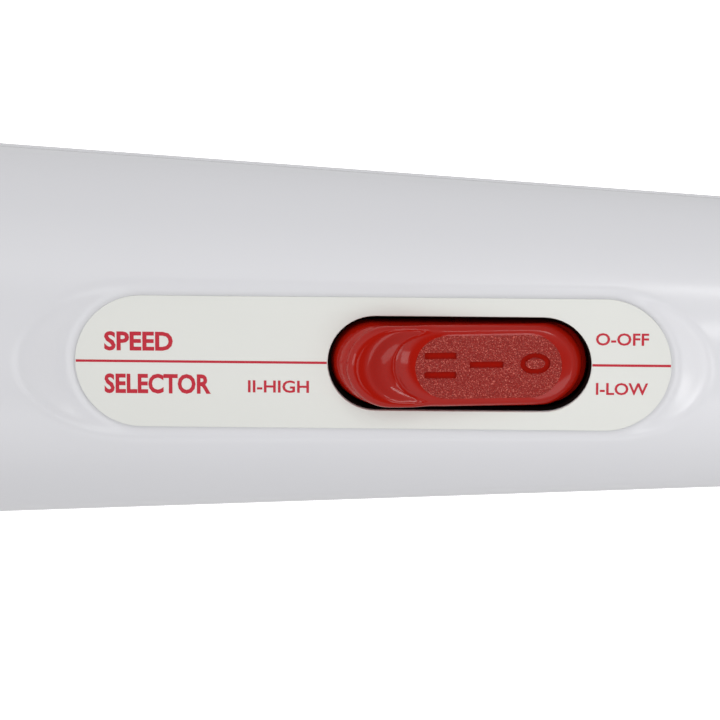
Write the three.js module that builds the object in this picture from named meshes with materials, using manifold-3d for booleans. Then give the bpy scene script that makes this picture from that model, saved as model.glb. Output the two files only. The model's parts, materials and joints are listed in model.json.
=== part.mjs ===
// A corded handheld wand massager, in millimetres.
//
// The wand is drawn about its own axis: x runs from the head (-x) to the tail (+x), x = 0 is the front face
// of the handle, z points to the switch side and y runs across. The casing is a cone, split lengthwise into
// a front and a rear shell. At the end of the file the wand is laid on the narrow flat along its back, so
// that the flat is the plane z = 0 and the wand's axis leans by the cone's half angle.
import * as THREE from "three";
import { mergeVertices } from "three/addons/utils/BufferGeometryUtils.js";
import Module from "manifold-3d";

const wasm = await Module();
wasm.setup();

// ---------------------------------------------------------------- driving dimensions

const GAP = 0.3; // between pieces that rest on each other
const ROUND = 30; // sides of a large round piece
const CORE_ROUND = 24; // of one inside another
const SMALL_ROUND = 14; // of a small one

const handle = {
  length: 222,
  shoulderRadius: 30.05,
  shoulderX: 24,
  domeLength: 34,
  taper: 0.0577,
  wall: 2.6,
};
handle.joinX = handle.shoulderX + (handle.taper * handle.domeLength ** 2) / handle.shoulderRadius;
handle.frontRadius = 15.5; // hole that the neck hub passes through
handle.tailRound = 7;
const lean = Math.atan(handle.taper);
const flatDepth = 0.6; // how far the resting flat cuts into the back

const label = { halfLength: 44.1, halfWidth: 9.85, thickness: 0.4, lift: 0.1, centre: -12.85 };
const deck = { x: 125.2, depth: 2.7, thickness: 2.4, margin: 0.9, flare: 9.2, flareHeight: 4 };
const opening = { halfLength: 19.5, halfWidth: 7.1, lip: 1, relief: 0.7 };

const rocker = { halfWidth: 6.1, wall: 1.5, pivot: -8, clearance: 1, skirt: -4.5, hollowLength: 17 };
rocker.throw = THREE.MathUtils.degToRad(7); // from the middle position to either end
const housing = { halfLength: 22.1, halfWidth: 8.8, wall: 1.6, top: -2.7, bottom: -17 };

const screws = { shank: 1.2, head: 2.7, headHeight: 2, length: 14, seat: -9, well: 3.5, ledge: 3 };
const screwPlaces = [
  { x: 19, y: 20.6 },
  { x: 103, y: 16.6 },
  { x: 203, y: 9.8 },
];

const neck = {
  rearX: -5,
  frontX: -24.2,
  outer: 15.6,
  inner: 13.2,
  springRadius: 10.9,
  wire: 1.9,
};
const head = { centre: -56, front: 30, rear: 29, radius: 31, power: 2.4, wall: 5, skin: 2.4, neckRadius: 17 };

const headBulkhead = { front: -39.6, rear: -34.6 }; // carries the rear bearing and the neck spring's end
const bearingSeat = 6.3;

const motor = { front: 37, rear: 93, radius: 16.5, wall: 1.5, shaft: 2, bossRadius: 6, bossLength: 3.5 };
const eccentric = { shaft: 2.3, front: -76.2, rear: -21, radius: 19, from: -64, to: -46 };

// ---------------------------------------------------------------- finishes

const finishes = {
  shell: { color: 0xd6d6dc, roughness: 0.22, metalness: 0 },
  label: { color: 0xdcdcd7, roughness: 0.5, metalness: 0 },
  silver: { color: 0xb9bbbe, roughness: 0.45, metalness: 0.6 },
  red: { color: 0x8f180e, roughness: 0.2, metalness: 0 },
  black: { color: 0x17130f, roughness: 0.5, metalness: 0 },
  accent: { color: 0xa9adb8, roughness: 0.35, metalness: 0 },
  vinyl: { color: 0xd9d7d3, roughness: 0.6, metalness: 0 },
  rubber: { color: 0x26262a, roughness: 0.8, metalness: 0 },
  nylon: { color: 0xe4e2d8, roughness: 0.55, metalness: 0 },
  steel: { color: 0xa7a9ac, roughness: 0.35, metalness: 1 },
  zinc: { color: 0x8d9096, roughness: 0.4, metalness: 1 },
  brass: { color: 0xb9974a, roughness: 0.35, metalness: 1 },
  copper: { color: 0x9d5a33, roughness: 0.4, metalness: 1 },
  ferrite: { color: 0x3a3b3f, roughness: 0.7, metalness: 0 },
  board: { color: 0x2c6a3c, roughness: 0.5, metalness: 0 },
};
const materials = Object.fromEntries(
  Object.entries(finishes).map(([name, look]) => [name, new THREE.MeshStandardMaterial({ name, ...look })]),
);

// ---------------------------------------------------------------- shapes, joins and cuts

// A closed geometry as a manifold-3d solid. A shape that is a solid already is returned as it is.
function solidOf(shape) {
  if (!shape.isBufferGeometry) return shape;
  const plain = shape.clone();
  plain.deleteAttribute("normal");
  plain.deleteAttribute("uv");
  const merged = mergeVertices(plain, 1e-4);
  return new wasm.Manifold(
    new wasm.Mesh({
      numProp: 3,
      vertProperties: merged.attributes.position.array,
      triVerts: new Uint32Array(merged.index.array),
    }),
  );
}

function geometryOf(shape) {
  if (shape.isBufferGeometry) return shape;
  const mesh = shape.getMesh();
  return new THREE.BufferGeometry()
    .setAttribute("position", new THREE.BufferAttribute(new Float32Array(mesh.vertProperties), 3))
    .setIndex(new THREE.BufferAttribute(new Uint32Array(mesh.triVerts), 1));
}

const join = (first, ...others) => others.reduce((made, next) => made.add(solidOf(next)), solidOf(first));
const cut = (first, ...tools) => tools.reduce((made, tool) => made.subtract(solidOf(tool)), solidOf(first));
const common = (first, second) => solidOf(first).intersect(solidOf(second));

const moved = (geometry, x, y, z) => geometry.clone().translate(x, y, z);

function box(x0, x1, y0, y1, z0, z1) {
  return new THREE.BoxGeometry(x1 - x0, y1 - y0, z1 - z0).translate(
    (x0 + x1) / 2,
    (y0 + y1) / 2,
    (z0 + z1) / 2,
  );
}

// A solid of revolution about the x axis. The outline is a list of [x, radius] that starts and ends on the
// axis, or a ring's outline, which is closed here.
function turned(outline, segments = ROUND) {
  const onAxis = outline[0][1] === 0 && outline[outline.length - 1][1] === 0;
  const closed = onAxis ? outline : [...outline, outline[0]];
  const area = closed.reduce((sum, [x, r], i) => {
    const [nextX, nextR] = closed[(i + 1) % closed.length];
    return sum + r * nextX - nextR * x;
  }, 0);
  const points = closed.map(([x, r]) => new THREE.Vector2(r, x));
  return new THREE.LatheGeometry(area > 0 ? points : points.reverse(), segments).rotateZ(-Math.PI / 2);
}

// A plain tube, washer or rod about the x axis.
function ring(x0, x1, inner, outer, segments = ROUND) {
  const outside = [
    [x0, outer],
    [x1, outer],
  ];
  return turned([[x0, inner], ...outside, [x1, inner]], segments);
}

// A rod along x, y or z.
function rod(axis, radius, from, to, segments = SMALL_ROUND) {
  const made = new THREE.CylinderGeometry(radius, radius, to - from, segments);
  made.translate(0, (from + to) / 2, 0);
  if (axis === "x") made.rotateZ(-Math.PI / 2);
  return axis === "z" ? made.rotateX(Math.PI / 2) : made;
}

// A long shape with two round ends, along x.
function stadium(halfLength, halfWidth) {
  const straight = halfLength - halfWidth;
  return new THREE.Shape()
    .absarc(straight, 0, halfWidth, -Math.PI / 2, Math.PI / 2, false)
    .absarc(-straight, 0, halfWidth, Math.PI / 2, (3 * Math.PI) / 2, false);
}

function stadiumBlock(halfLength, halfWidth, z0, z1, curveSegments = 8) {
  const depth = z1 - z0;
  return new THREE.ExtrudeGeometry(stadium(halfLength, halfWidth), {
    depth,
    bevelEnabled: false,
    curveSegments,
  }).translate(0, 0, z0);
}

class Helix extends THREE.Curve {
  constructor(radius, x0, x1, turns) {
    super();
    Object.assign(this, { radius, x0, x1, turns });
  }
  getPoint(t, target = new THREE.Vector3()) {
    const angle = 2 * Math.PI * this.turns * t;
    const x = THREE.MathUtils.lerp(this.x0, this.x1, t);
    return target.set(x, this.radius * Math.cos(angle), this.radius * Math.sin(angle));
  }
}

function coil(radius, wire, x0, x1, turns, stepsPerTurn = 10) {
  const section = new THREE.Shape().absarc(0, 0, wire / 2, 0, 2 * Math.PI, false);
  return new THREE.ExtrudeGeometry(section, {
    steps: Math.round(turns * stepsPerTurn),
    curveSegments: 3,
    extrudePath: new Helix(radius, x0 + wire / 2, x1 - wire / 2, turns),
  });
}

// ---------------------------------------------------------------- the handle's outline

function handleRadius(x) {
  const { shoulderRadius, shoulderX, domeLength, taper, joinX } = handle;
  const onDome = (at) => shoulderRadius * Math.sqrt(1 - ((at - shoulderX) / domeLength) ** 2);
  return x < joinX ? onDome(x) : onDome(joinX) - taper * (x - joinX);
}

const domeStations = [1, 4, 8, 13, 19];

function handleOutside() {
  const { length, joinX, tailRound } = handle;
  const tailStart = length - tailRound;
  const tailRadius = handleRadius(tailStart);
  const corner = [30, 60, 90].map((degrees) => {
    const angle = THREE.MathUtils.degToRad(degrees);
    return [
      tailStart + tailRound * Math.sin(angle),
      tailRadius - tailRound * (1 - Math.cos(angle)),
    ];
  });
  return turned([
    [0, 0],
    [0, handleRadius(0) - 1],
    ...domeStations.map((x) => [x, handleRadius(x)]),
    [joinX, handleRadius(joinX)],
    [tailStart, tailRadius],
    ...corner,
    [length, 0],
  ]);
}

const gland = { hole: 6.2, bore: 3.8, flange: 8, body: 5.9, proud: 2.5 };

function handleInside() {
  const { length, joinX, wall, frontRadius, tailRound } = handle;
  const tailStart = length - tailRound;
  return turned([
    [-1, 0],
    [-1, frontRadius],
    [wall, frontRadius],
    [wall, handleRadius(wall) - wall - 0.6],
    ...domeStations.slice(2).map((x) => [x, handleRadius(x) - wall]),
    [joinX, handleRadius(joinX) - wall],
    [tailStart, handleRadius(tailStart) - wall],
    [length - wall, handleRadius(tailStart) - tailRound + 1],
    [length - wall, gland.hole],
    [length + 1, gland.hole],
    [length + 1, 0],
  ]);
}

// ---------------------------------------------------------------- frames: the deck under the label, and rest

// The deck lies along the top of the cone. Its own x runs along the handle and its z stands square to it.
const deckHeight = handleRadius(deck.x) - deck.depth / Math.cos(lean);
const deckFrame = new THREE.Matrix4().makeRotationY(lean).setPosition(deck.x, 0, deckHeight);
const onDeck = (geometry) => geometry.clone().applyMatrix4(deckFrame);

const backDrop = Math.sin(lean) * handle.joinX + Math.cos(lean) * handleRadius(handle.joinX);
const restHeight = backDrop - flatDepth;
const restFrame = new THREE.Matrix4().makeRotationY(lean).setPosition(0, 0, restHeight);

// ---------------------------------------------------------------- the casing

// Half-ring ribs that hold the neck hub's flange and the motor's rubber mounts.
const ribs = [
  { from: 3.6, to: 5.8, inner: 15.5 },
  { from: 9.2, to: 11, inner: 15.5 },
  { from: motor.front - 3.3, to: motor.front - 0.6, inner: 11.4 },
  { from: motor.rear + 0.6, to: motor.rear + 3.3, inner: 11.4 },
];

// The hollow casing before it is split: walls, ribs and the thick pad that carries the deck.
function wholeCasing() {
  const outside = handleOutside();
  const walls = cut(outside, handleInside());
  const rings = ribs.map((rib) => common(outside, ring(rib.from, rib.to, rib.inner, 40)));
  const block = stadiumBlock(label.halfLength + 9, 15, -deck.thickness, 12, 8);
  const pad = common(outside, onDeck(moved(block, label.centre, 0, 0)));
  const casing = join(walls, ...rings, pad);
  const floorShape = stadium(label.halfLength + deck.margin, label.halfWidth + deck.margin);
  const dish = new THREE.ExtrudeGeometry(floorShape, {
    depth: 6,
    bevelSize: deck.flare,
    bevelThickness: deck.flareHeight,
    bevelSegments: 1,
    curveSegments: 8,
  }).translate(label.centre, 0, deck.flareHeight);
  const { halfLength, halfWidth, lip, relief } = opening;
  const slot = stadiumBlock(halfLength, halfWidth, -lip - 1, 2);
  const underside = stadiumBlock(halfLength + relief, halfWidth + relief, -8, -lip);
  return cut(casing, onDeck(dish), onDeck(slot), onDeck(underside));
}

// The front shell takes the upper half, the rear shell the lower one, with a fine parting line between them.
const upperHalf = box(-20, 260, -60, 60, GAP / 2, 60);
const lowerHalf = box(-20, 260, -60, 60, -60, -GAP / 2);
const bothSides = screwPlaces.flatMap(({ x, y }) => [
  { x, y },
  { x, y: -y },
]);

function frontShell(casing) {
  const outside = handleOutside();
  const bottom = screws.seat + screws.ledge + GAP;
  const bosses = bothSides.map(({ x, y }) => common(outside, moved(rod("z", 3.3, bottom, 40, 8), x, y, 0)));
  const pilots = bothSides.map(({ x, y }) => moved(rod("z", 1.5, bottom - 1, 8, 6), x, y, 0));
  return cut(join(common(casing, upperHalf), ...bosses), ...pilots);
}

const vents = { width: 1.8, pitch: 4.4, count: 4, groups: [{ x: 47, reach: 13 }, { x: 180, reach: 9.5 }] };
const ratingLabel = { from: 118, to: 160, halfWidth: 4, recess: 0.6, thickness: 0.3 };

function ventSlots() {
  return vents.groups.flatMap(({ x, reach }) =>
    Array.from({ length: vents.count }, (_, i) => {
      const at = x + (i - (vents.count - 1) / 2) * vents.pitch;
      return box(at - vents.width / 2, at + vents.width / 2, -reach, reach, -40, -handleRadius(at) * 0.6);
    }),
  );
}

const clamp = { x: 186, postY: 8.8, postRadius: 3, postTop: 2.4, barHeight: 2.5, barHalfLength: 12.5 };
const board = { from: 112, to: 162, halfWidth: 12, bottom: -4, thickness: 1.6 };

function rearShell(casing) {
  const outside = handleOutside();
  const inside = handleInside();
  const seat = screws.seat;
  const posts = bothSides.map(({ x, y }) =>
    common(outside, moved(rod("z", 5.2, -40, seat + screws.ledge, 10), x, y, 0)),
  );
  const wells = bothSides.flatMap(({ x, y }) => [
    moved(rod("z", screws.well, -41, seat, 12), x, y, 0),
    moved(rod("z", 1.6, seat - 1, 4, 8), x, y, 0),
  ]);
  const clampPosts = [1, -1].map((side) =>
    common(
      outside,
      moved(rod("z", clamp.postRadius, -40, clamp.postTop, 12), clamp.x, side * clamp.postY, 0),
    ),
  );
  const clampPilots = [1, -1].map((side) =>
    moved(rod("z", 1.5, clamp.postTop - 9, clamp.postTop + 1, 8), clamp.x, side * clamp.postY, 0),
  );
  const boardRibs = [board.from + 3, board.to - 5].map((x) =>
    common(
      join(inside, outside),
      box(x, x + 1.8, -board.halfWidth, board.halfWidth, -40, board.bottom - GAP),
    ),
  );
  const toWand = restFrame.clone().invert();
  const ground = box(-100, 300, -60, 60, -40, 0).applyMatrix4(toWand);
  const plate = box(
    ratingLabel.from,
    ratingLabel.to,
    -ratingLabel.halfWidth,
    ratingLabel.halfWidth,
    -5,
    ratingLabel.recess,
  ).applyMatrix4(toWand);
  const body = join(common(casing, lowerHalf), ...posts, ...clampPosts, ...boardRibs);
  return cut(body, ...wells, ...clampPilots, ...ventSlots(), ground, plate);
}

function casingScrew() {
  const { shank, head: headRadius, headHeight, length, seat } = screws;
  const top = seat - GAP;
  return join(
    rod("z", shank, top - 0.1, top + length, 6),
    rod("z", headRadius, top - headHeight, top, 10),
  );
}

// ---------------------------------------------------------------- the neck

function neckHub() {
  return turned([
    [-3.2, 12.6],
    [-3.2, 15.1],
    [6.1, 15.1],
    [6.1, 18.4],
    [8.9, 18.4],
    [8.9, 9],
    [4, 9],
    [4, 12.6],
  ]);
}

function neckCollar() {
  return turned([
    [-5, 15.5],
    [-5, 17.2],
    [-3.6, 18.6],
    [-1.2, 18.6],
    [-GAP, 17.9],
    [-GAP, 15.5],
  ]);
}

// A soft bellows with three ribs between the collar and the head.
function neckSleeve() {
  const { rearX, frontX, outer, inner } = neck;
  const from = frontX + GAP;
  const to = rearX - GAP;
  const ribCount = 3;
  const pitch = (to - from) / ribCount;
  const waves = Array.from({ length: ribCount }, (_, i) => {
    const start = from + i * pitch;
    return [
      [start + 0.25 * pitch, outer + 1.1],
      [start + 0.75 * pitch, outer + 1.1],
      [start + pitch, outer],
    ];
  }).flat();
  return turned([[from, inner], [from, outer], ...waves, [to, inner]], CORE_ROUND);
}

// ---------------------------------------------------------------- the head

// Radius of the head's rounded outline at x, drawn in by inset.
function headRadius(x, inset) {
  const reach = x < head.centre ? head.front : head.rear;
  const share = Math.min(1, Math.abs(x - head.centre) / (reach - inset));
  return (head.radius - inset) * (1 - share ** head.power) ** (1 / head.power);
}

// Stations along the head's outline, closer together near its ends.
function headOutline(from, to, inset, count) {
  return Array.from({ length: count + 1 }, (_, i) => {
    const x = THREE.MathUtils.lerp(from, to, (1 - Math.cos((Math.PI * i) / count)) / 2);
    return [x, headRadius(x, inset)];
  });
}

// Where the outline, drawn in by inset, comes down to a radius on the side nearer the handle.
function headStation(radius, inset) {
  const share = (1 - (radius / (head.radius - inset)) ** head.power) ** (1 / head.power);
  return head.centre + share * (head.rear - inset);
}

function headCover() {
  const { centre, front, wall, neckRadius } = head;
  const tip = centre - front;
  const back = headStation(neckRadius + 0.2, 0);
  const outside = headOutline(back, tip, 0, 12);
  const inside = headOutline(headStation(neckRadius, wall), tip + wall, wall, 10).reverse();
  return turned([[back, neckRadius], ...outside, [tip + wall, 0], ...inside.slice(1)]);
}

const coreInset = head.wall + 0.9; // the hard case inside the soft cover

function headHousing() {
  const { centre, front, skin } = head;
  const tip = centre - front + coreInset;
  const outside = headOutline(head.centre, tip, coreInset, 6);
  const inside = headOutline(head.centre, tip + skin, coreInset + skin, 5).reverse();
  const cup = turned([...outside, ...inside], CORE_ROUND);
  return join(cup, ring(tip + skin - 1, tip + skin + 6, bearingSeat, 8.5, 24));
}

function headBase() {
  const { skin, neckRadius } = head;
  const { frontX } = neck;
  const outer = neckRadius - 0.4;
  const inside = headOutline(head.centre + GAP, headBulkhead.front, coreInset + skin, 4).reverse();
  return turned([
    ...headOutline(head.centre + GAP, headStation(outer, coreInset), coreInset, 5),
    [frontX - 3, outer],
    [frontX - 2, outer - 1],
    [frontX, outer - 1],
    [frontX, 12.6],
    [headBulkhead.rear, 12.6],
    [headBulkhead.rear, bearingSeat],
    [headBulkhead.front, bearingSeat],
    ...inside,
  ], CORE_ROUND);
}

function eccentricWeight() {
  const { radius, from, to, shaft } = eccentric;
  const half = new THREE.Shape().absarc(0, 0, radius, Math.PI, 2 * Math.PI, false);
  const drawn = { depth: to - from, bevelEnabled: false, curveSegments: 16 };
  const wedge = new THREE.ExtrudeGeometry(half, drawn);
  // The half disc is drawn in a plane and turned to face along the shaft, with its mass hanging below it.
  const upright = new THREE.Matrix4().makeBasis(
    new THREE.Vector3(0, 1, 0),
    new THREE.Vector3(0, 0, 1),
    new THREE.Vector3(1, 0, 0),
  );
  const mass = wedge.applyMatrix4(upright).translate(from, 0, 0);
  const boss = ring(from, to, shaft + 0.1, 6, 20);
  return cut(join(mass, boss), rod("x", shaft + GAP, from - 1, to + 1));
}

// A plain bearing bush.
const headBearing = (x) => ring(x, x + 4.6, eccentric.shaft + GAP, bearingSeat - GAP, 20);

// ---------------------------------------------------------------- the motor and its drive

function motorCan() {
  const { front, rear, radius, wall, bossRadius, bossLength } = motor;
  return turned([
    [front - bossLength, bossRadius],
    [front, bossRadius],
    [front, radius],
    [rear, radius],
    [rear, radius - wall],
    [front + wall, radius - wall],
    [front + wall, 4],
    [front - bossLength, 4],
  ], 32);
}

function motorEndCap() {
  const { rear, radius, wall, bossRadius, bossLength } = motor;
  return turned([
    [rear - 2.5, 4],
    [rear - 2.5, radius - wall - GAP],
    [rear - 0.2, radius - wall - GAP],
    [rear - 0.2, bossRadius],
    [rear + bossLength, bossRadius],
    [rear + bossLength, 4],
  ], 32);
}

// An arc magnet that hugs the inside of the can, on the side that the angle points to.
function magnet(angle) {
  const outer = motor.radius - motor.wall - GAP;
  const inner = outer - 3.3;
  const half = THREE.MathUtils.degToRad(68);
  const arc = new THREE.Shape()
    .absarc(0, 0, outer, angle - half, angle + half, false)
    .absarc(0, 0, inner, angle + half, angle - half, true);
  return new THREE.ExtrudeGeometry(arc, { depth: 40, bevelEnabled: false, curveSegments: 10 })
    .rotateY(Math.PI / 2)
    .translate(motor.front + 6, 0, 0);
}

// Laminated core with five poles and the wire wound between them.
function rotorCore() {
  const from = motor.front + 8;
  const to = from + 36;
  const poles = 5;
  const core = ring(from, to, motor.shaft + 0.05, 10.8, 30);
  const slots = Array.from({ length: poles }, (_, i) =>
    box(from - 1, to + 1, -0.9, 0.9, 8.4, 12).rotateX((2 * Math.PI * i) / poles),
  );
  return cut(core, ...slots);
}

const windings = (from) => ring(from, from + 3.4, motor.shaft + GAP, 8.2, 20);

function commutator() {
  const from = 85;
  const drum = ring(from, from + 5, motor.shaft + GAP, 4.6, 20);
  const cuts = Array.from({ length: 5 }, (_, i) =>
    box(from - 1, from + 6, -0.25, 0.25, 4.1, 6).rotateX((2 * Math.PI * i) / 5),
  );
  return cut(drum, ...cuts);
}

function coolingFan() {
  const bladeCount = 7;
  const hub = ring(16, 26, motor.shaft + GAP, 4.5, 21);
  const blades = Array.from({ length: bladeCount }, (_, i) =>
    box(-4.5, 4.5, -0.6, 0.6, 4, 14.2)
      .rotateZ(THREE.MathUtils.degToRad(32))
      .translate(21, 0, 0)
      .rotateX((2 * Math.PI * i) / bladeCount),
  );
  return join(hub, ...blades);
}

// Hub of the flexible coupling: a sleeve on a shaft with a spigot that the small spring grips.
function couplingHub(from, to, spigotTo, shaft) {
  const inward = Math.sign(to - from);
  return turned([
    [from, shaft + GAP],
    [from, 4.6],
    [to, 4.6],
    [to, 2.7],
    [spigotTo, 2.7],
    [spigotTo, 0],
    [to - 2 * inward, 0],
    [to - 2 * inward, shaft + GAP],
  ], SMALL_ROUND);
}

// ---------------------------------------------------------------- the rocker switch, drawn about the deck

// The rocker from the side, in its middle position: a rim, a thumb scoop and a raised flat pad.
const rockerSide = [
  [-22, rocker.skirt],
  [-22, 0.4],
  [-17.2, 2.1],
  [-15.6, 2.75],
  [-14.5, 2.35],
  [-12.6, 1.3],
  [-10.1, 1],
  [-8.3, 2.7],
  [-7.7, 2.9],
  [13.8, 2.9],
  [16, 2.6],
  [17.2, 2],
  [22, 0.4],
  [22, rocker.skirt],
];

// The rocker's two ends are parts of a drum about its pivot, so that they clear the opening as it tilts.
function rockerDrum() {
  const { halfWidth, pivot, clearance } = rocker;
  const straight = opening.halfLength - opening.halfWidth;
  const rim = [-1, -0.85, -0.6, -0.25, 0.25, 0.6, 0.85, 1].map((share) => {
    const y = share * halfWidth;
    const reach = straight + Math.sqrt(opening.halfWidth ** 2 - y ** 2) - clearance;
    return new THREE.Vector2(Math.hypot(reach, pivot), y);
  });
  const outline = [new THREE.Vector2(0, -halfWidth), ...rim, new THREE.Vector2(0, halfWidth)];
  return new THREE.LatheGeometry(outline, 60).translate(0, 0, pivot);
}

function rockerButton() {
  const { halfWidth, wall, pivot, skirt, hollowLength } = rocker;
  const outline = new THREE.Shape(rockerSide.map(([x, z]) => new THREE.Vector2(x, z)));
  const slab = new THREE.ExtrudeGeometry(outline, { depth: 2 * halfWidth, bevelEnabled: false })
    .rotateX(Math.PI / 2)
    .translate(0, halfWidth, 0);
  const shape = common(slab, rockerDrum());
  const hollow = stadiumBlock(hollowLength, halfWidth - wall, skirt - 1, -0.6);
  const ears = [1, -1].map((side) => {
    const inside = side > 0 ? halfWidth - wall : -halfWidth;
    return box(-2.6, 2.6, inside, inside + wall, pivot - 2.2, -3);
  });
  const reach = housing.halfWidth - 0.6;
  const trunnions = [1, -1].map((side) => {
    const ends = [halfWidth - 0.2, reach].map((y) => side * y);
    return moved(rod("y", 1.3, Math.min(...ends), Math.max(...ends), 12), 0, 0, pivot);
  });
  const socket = rod("z", 2.6, -6, 1, 12);
  const bore = rod("z", 1.7, -7, 0, 12);
  return cut(join(cut(shape, hollow), socket, ...ears, ...trunnions), bore);
}

// The spring-loaded plunger that holds the rocker in one of its three positions.
function detentPlunger() {
  return turned([
    [-11.6, 0],
    [-11.3, 0.8],
    [-10.6, 1.3],
    [-5.6, 1.3],
    [-5.6, 0],
  ], 12).rotateY(-Math.PI / 2);
}

const detentSpring = () => coil(0.95, 0.5, -5.2, -0.6, 4, 8).rotateY(-Math.PI / 2);

function switchHousing() {
  const { halfLength, halfWidth, wall, top, bottom } = housing;
  const block = stadiumBlock(halfLength, halfWidth, bottom, top);
  const cavity = stadiumBlock(halfLength - wall, halfWidth - wall, bottom + wall, top + 1);
  const pivotHole = moved(rod("y", 1.6, -20, 20, 12), 0, 0, rocker.pivot);
  const slots = terminalPlaces.map((x) => box(x - 0.8, x + 0.8, -3.1, 3.1, bottom - 1, bottom + 3));
  return cut(block, cavity, pivotHole, ...slots);
}

const terminalPlaces = [-11, 0, 11];

// A brass blade that stands through the floor of the housing, with its contact inside.
function terminal(x, top) {
  const { bottom } = housing;
  return box(x - 0.4, x + 0.4, -2.7, 2.7, bottom - 6, top);
}

// The see-saw contact that the plunger tips over.
function contactLever() {
  const strip = new THREE.Shape([
    new THREE.Vector2(-12, 0.5),
    new THREE.Vector2(0, -0.3),
    new THREE.Vector2(12, 0.5),
    new THREE.Vector2(12, 1.1),
    new THREE.Vector2(0, 0.3),
    new THREE.Vector2(-12, 1.1),
  ]);
  return new THREE.ExtrudeGeometry(strip, { depth: 4, bevelEnabled: false })
    .rotateX(Math.PI / 2)
    .translate(0, 2, 0);
}
const leverPivot = -12.5;

// ---------------------------------------------------------------- electrical parts

// A plain bearing bush on the motor's shaft.
const motorBearing = (x) => ring(x, x + 4, motor.shaft + GAP, 3.7, SMALL_ROUND);

const mountRing = (x) => ring(x, x + 2.7, 6.3, 11.1, 24);

// A carbon brush that stands on one side of the commutator.
const brush = { from: 86, to: 89.5, near: 4.9, length: 4.5, halfHeight: 1.8 };
function brushOn(side) {
  const { from, to, near, length, halfHeight } = brush;
  const y = side > 0 ? near : -near - length;
  return box(from, to, y, y + length, -halfHeight, halfHeight);
}

function circuitBoard() {
  const { from, to, halfWidth, bottom, thickness } = board;
  const edge = halfWidth - 0.5;
  return box(from, to, -edge, edge, bottom, bottom + thickness);
}

function rectifier() {
  const bottom = board.bottom + board.thickness + GAP;
  return box(150, 158, -4, 4, bottom, bottom + 5);
}

// The capacitor and the thermal fuse hang below the board.
const capacitor = () => box(119.5, 125, -7, 7, board.bottom - 11, board.bottom - GAP);
const thermalFuse = () => moved(rod("y", 2, -5, 5, 12), 144, 0, board.bottom - 2.5);

function cordClamp() {
  const { x, postY, postTop, barHeight, barHalfLength } = clamp;
  const bottom = postTop + GAP;
  const bar = box(x - 3.2, x + 3.2, -barHalfLength, barHalfLength, bottom, bottom + barHeight);
  const holes = [1, -1].map((side) => moved(rod("z", 1.6, bottom - 1, bottom + 4, 8), x, side * postY, 0));
  return cut(bar, ...holes);
}

function clampScrew(side) {
  const seat = clamp.postTop + clamp.barHeight + 2 * GAP;
  const screw = join(rod("z", screws.shank, seat - 9, seat + 0.1, 8), rod("z", 2.4, seat, seat + 1.8, 12));
  return moved(geometryOf(screw), clamp.x, side * clamp.postY, 0);
}

// A rubber bush in the tail, with a flange outside the shell and one inside.
function inletGland() {
  const { bore, flange, body, proud } = gland;
  const outside = handle.length;
  const inside = handle.length - handle.wall - GAP;
  return turned([
    [outside + proud, bore],
    [outside + proud, flange - 0.8],
    [outside + proud - 0.8, flange],
    [outside + GAP, flange],
    [outside + GAP, body],
    [inside, body],
    [inside, flange],
    [inside - 2.7, flange],
    [inside - 2.7, bore],
  ], 24);
}

function ratingPlate() {
  const { from, to, halfWidth, recess, thickness } = ratingLabel;
  const top = recess - 0.1;
  return box(from + GAP, to - GAP, -halfWidth + GAP, halfWidth - GAP, top - thickness, top);
}

function controlLabel() {
  const { halfLength, halfWidth, lift, thickness, centre } = label;
  const slab = stadiumBlock(halfLength, halfWidth, lift, lift + thickness, 10).translate(centre, 0, 0);
  return cut(slab, stadiumBlock(opening.halfLength, opening.halfWidth, -1, 2, 10));
}

// ---------------------------------------------------------------- assembly

const wand = new THREE.Group();
wand.rotation.y = lean;
wand.position.z = restHeight;

function add(group, name, finish, shape, x = 0, y = 0, z = 0) {
  const mesh = new THREE.Mesh(geometryOf(shape), materials[finish]);
  mesh.name = name;
  mesh.position.set(x, y, z);
  group.add(mesh);
}

const casing = wholeCasing();
add(wand, "front_shell", "shell", frontShell(casing));
add(wand, "rear_shell", "shell", rearShell(casing));
bothSides.forEach(({ x, y }, i) => add(wand, `casing_screw_${i + 1}`, "steel", casingScrew(), x, y, 0));

add(wand, "inlet_gland", "rubber", inletGland());

add(wand, "neck_hub", "nylon", neckHub());
add(wand, "neck_collar", "accent", neckCollar());
add(wand, "neck_sleeve", "vinyl", neckSleeve());
add(wand, "neck_spring", "steel", coil(neck.springRadius, neck.wire, headBulkhead.rear + GAP, 3.7, 7));

add(wand, "head_cover", "vinyl", headCover());
add(wand, "head_housing", "nylon", headHousing());
add(wand, "head_base", "nylon", headBase());
add(wand, "head_bearing_rear", "brass", headBearing(headBulkhead.front + 0.2));
add(wand, "head_bearing_front", "brass", headBearing(-76.4));
add(wand, "eccentric_shaft", "steel", rod("x", eccentric.shaft, eccentric.front, eccentric.rear));
add(wand, "eccentric_weight", "zinc", eccentricWeight());
add(wand, "shaft_clip", "steel", ring(-41.8, -40.6, eccentric.shaft + GAP, 4.4, 12));

add(wand, "coupling_front_hub", "brass", couplingHub(-26, -18.6, -16.4, eccentric.shaft));
add(wand, "coupling_rear_hub", "brass", couplingHub(8.6, -10.6, -12.8, motor.shaft));
add(wand, "coupling_spring", "steel", coil(3.5, 0.9, -18.2, -11, 5, 8));

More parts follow.
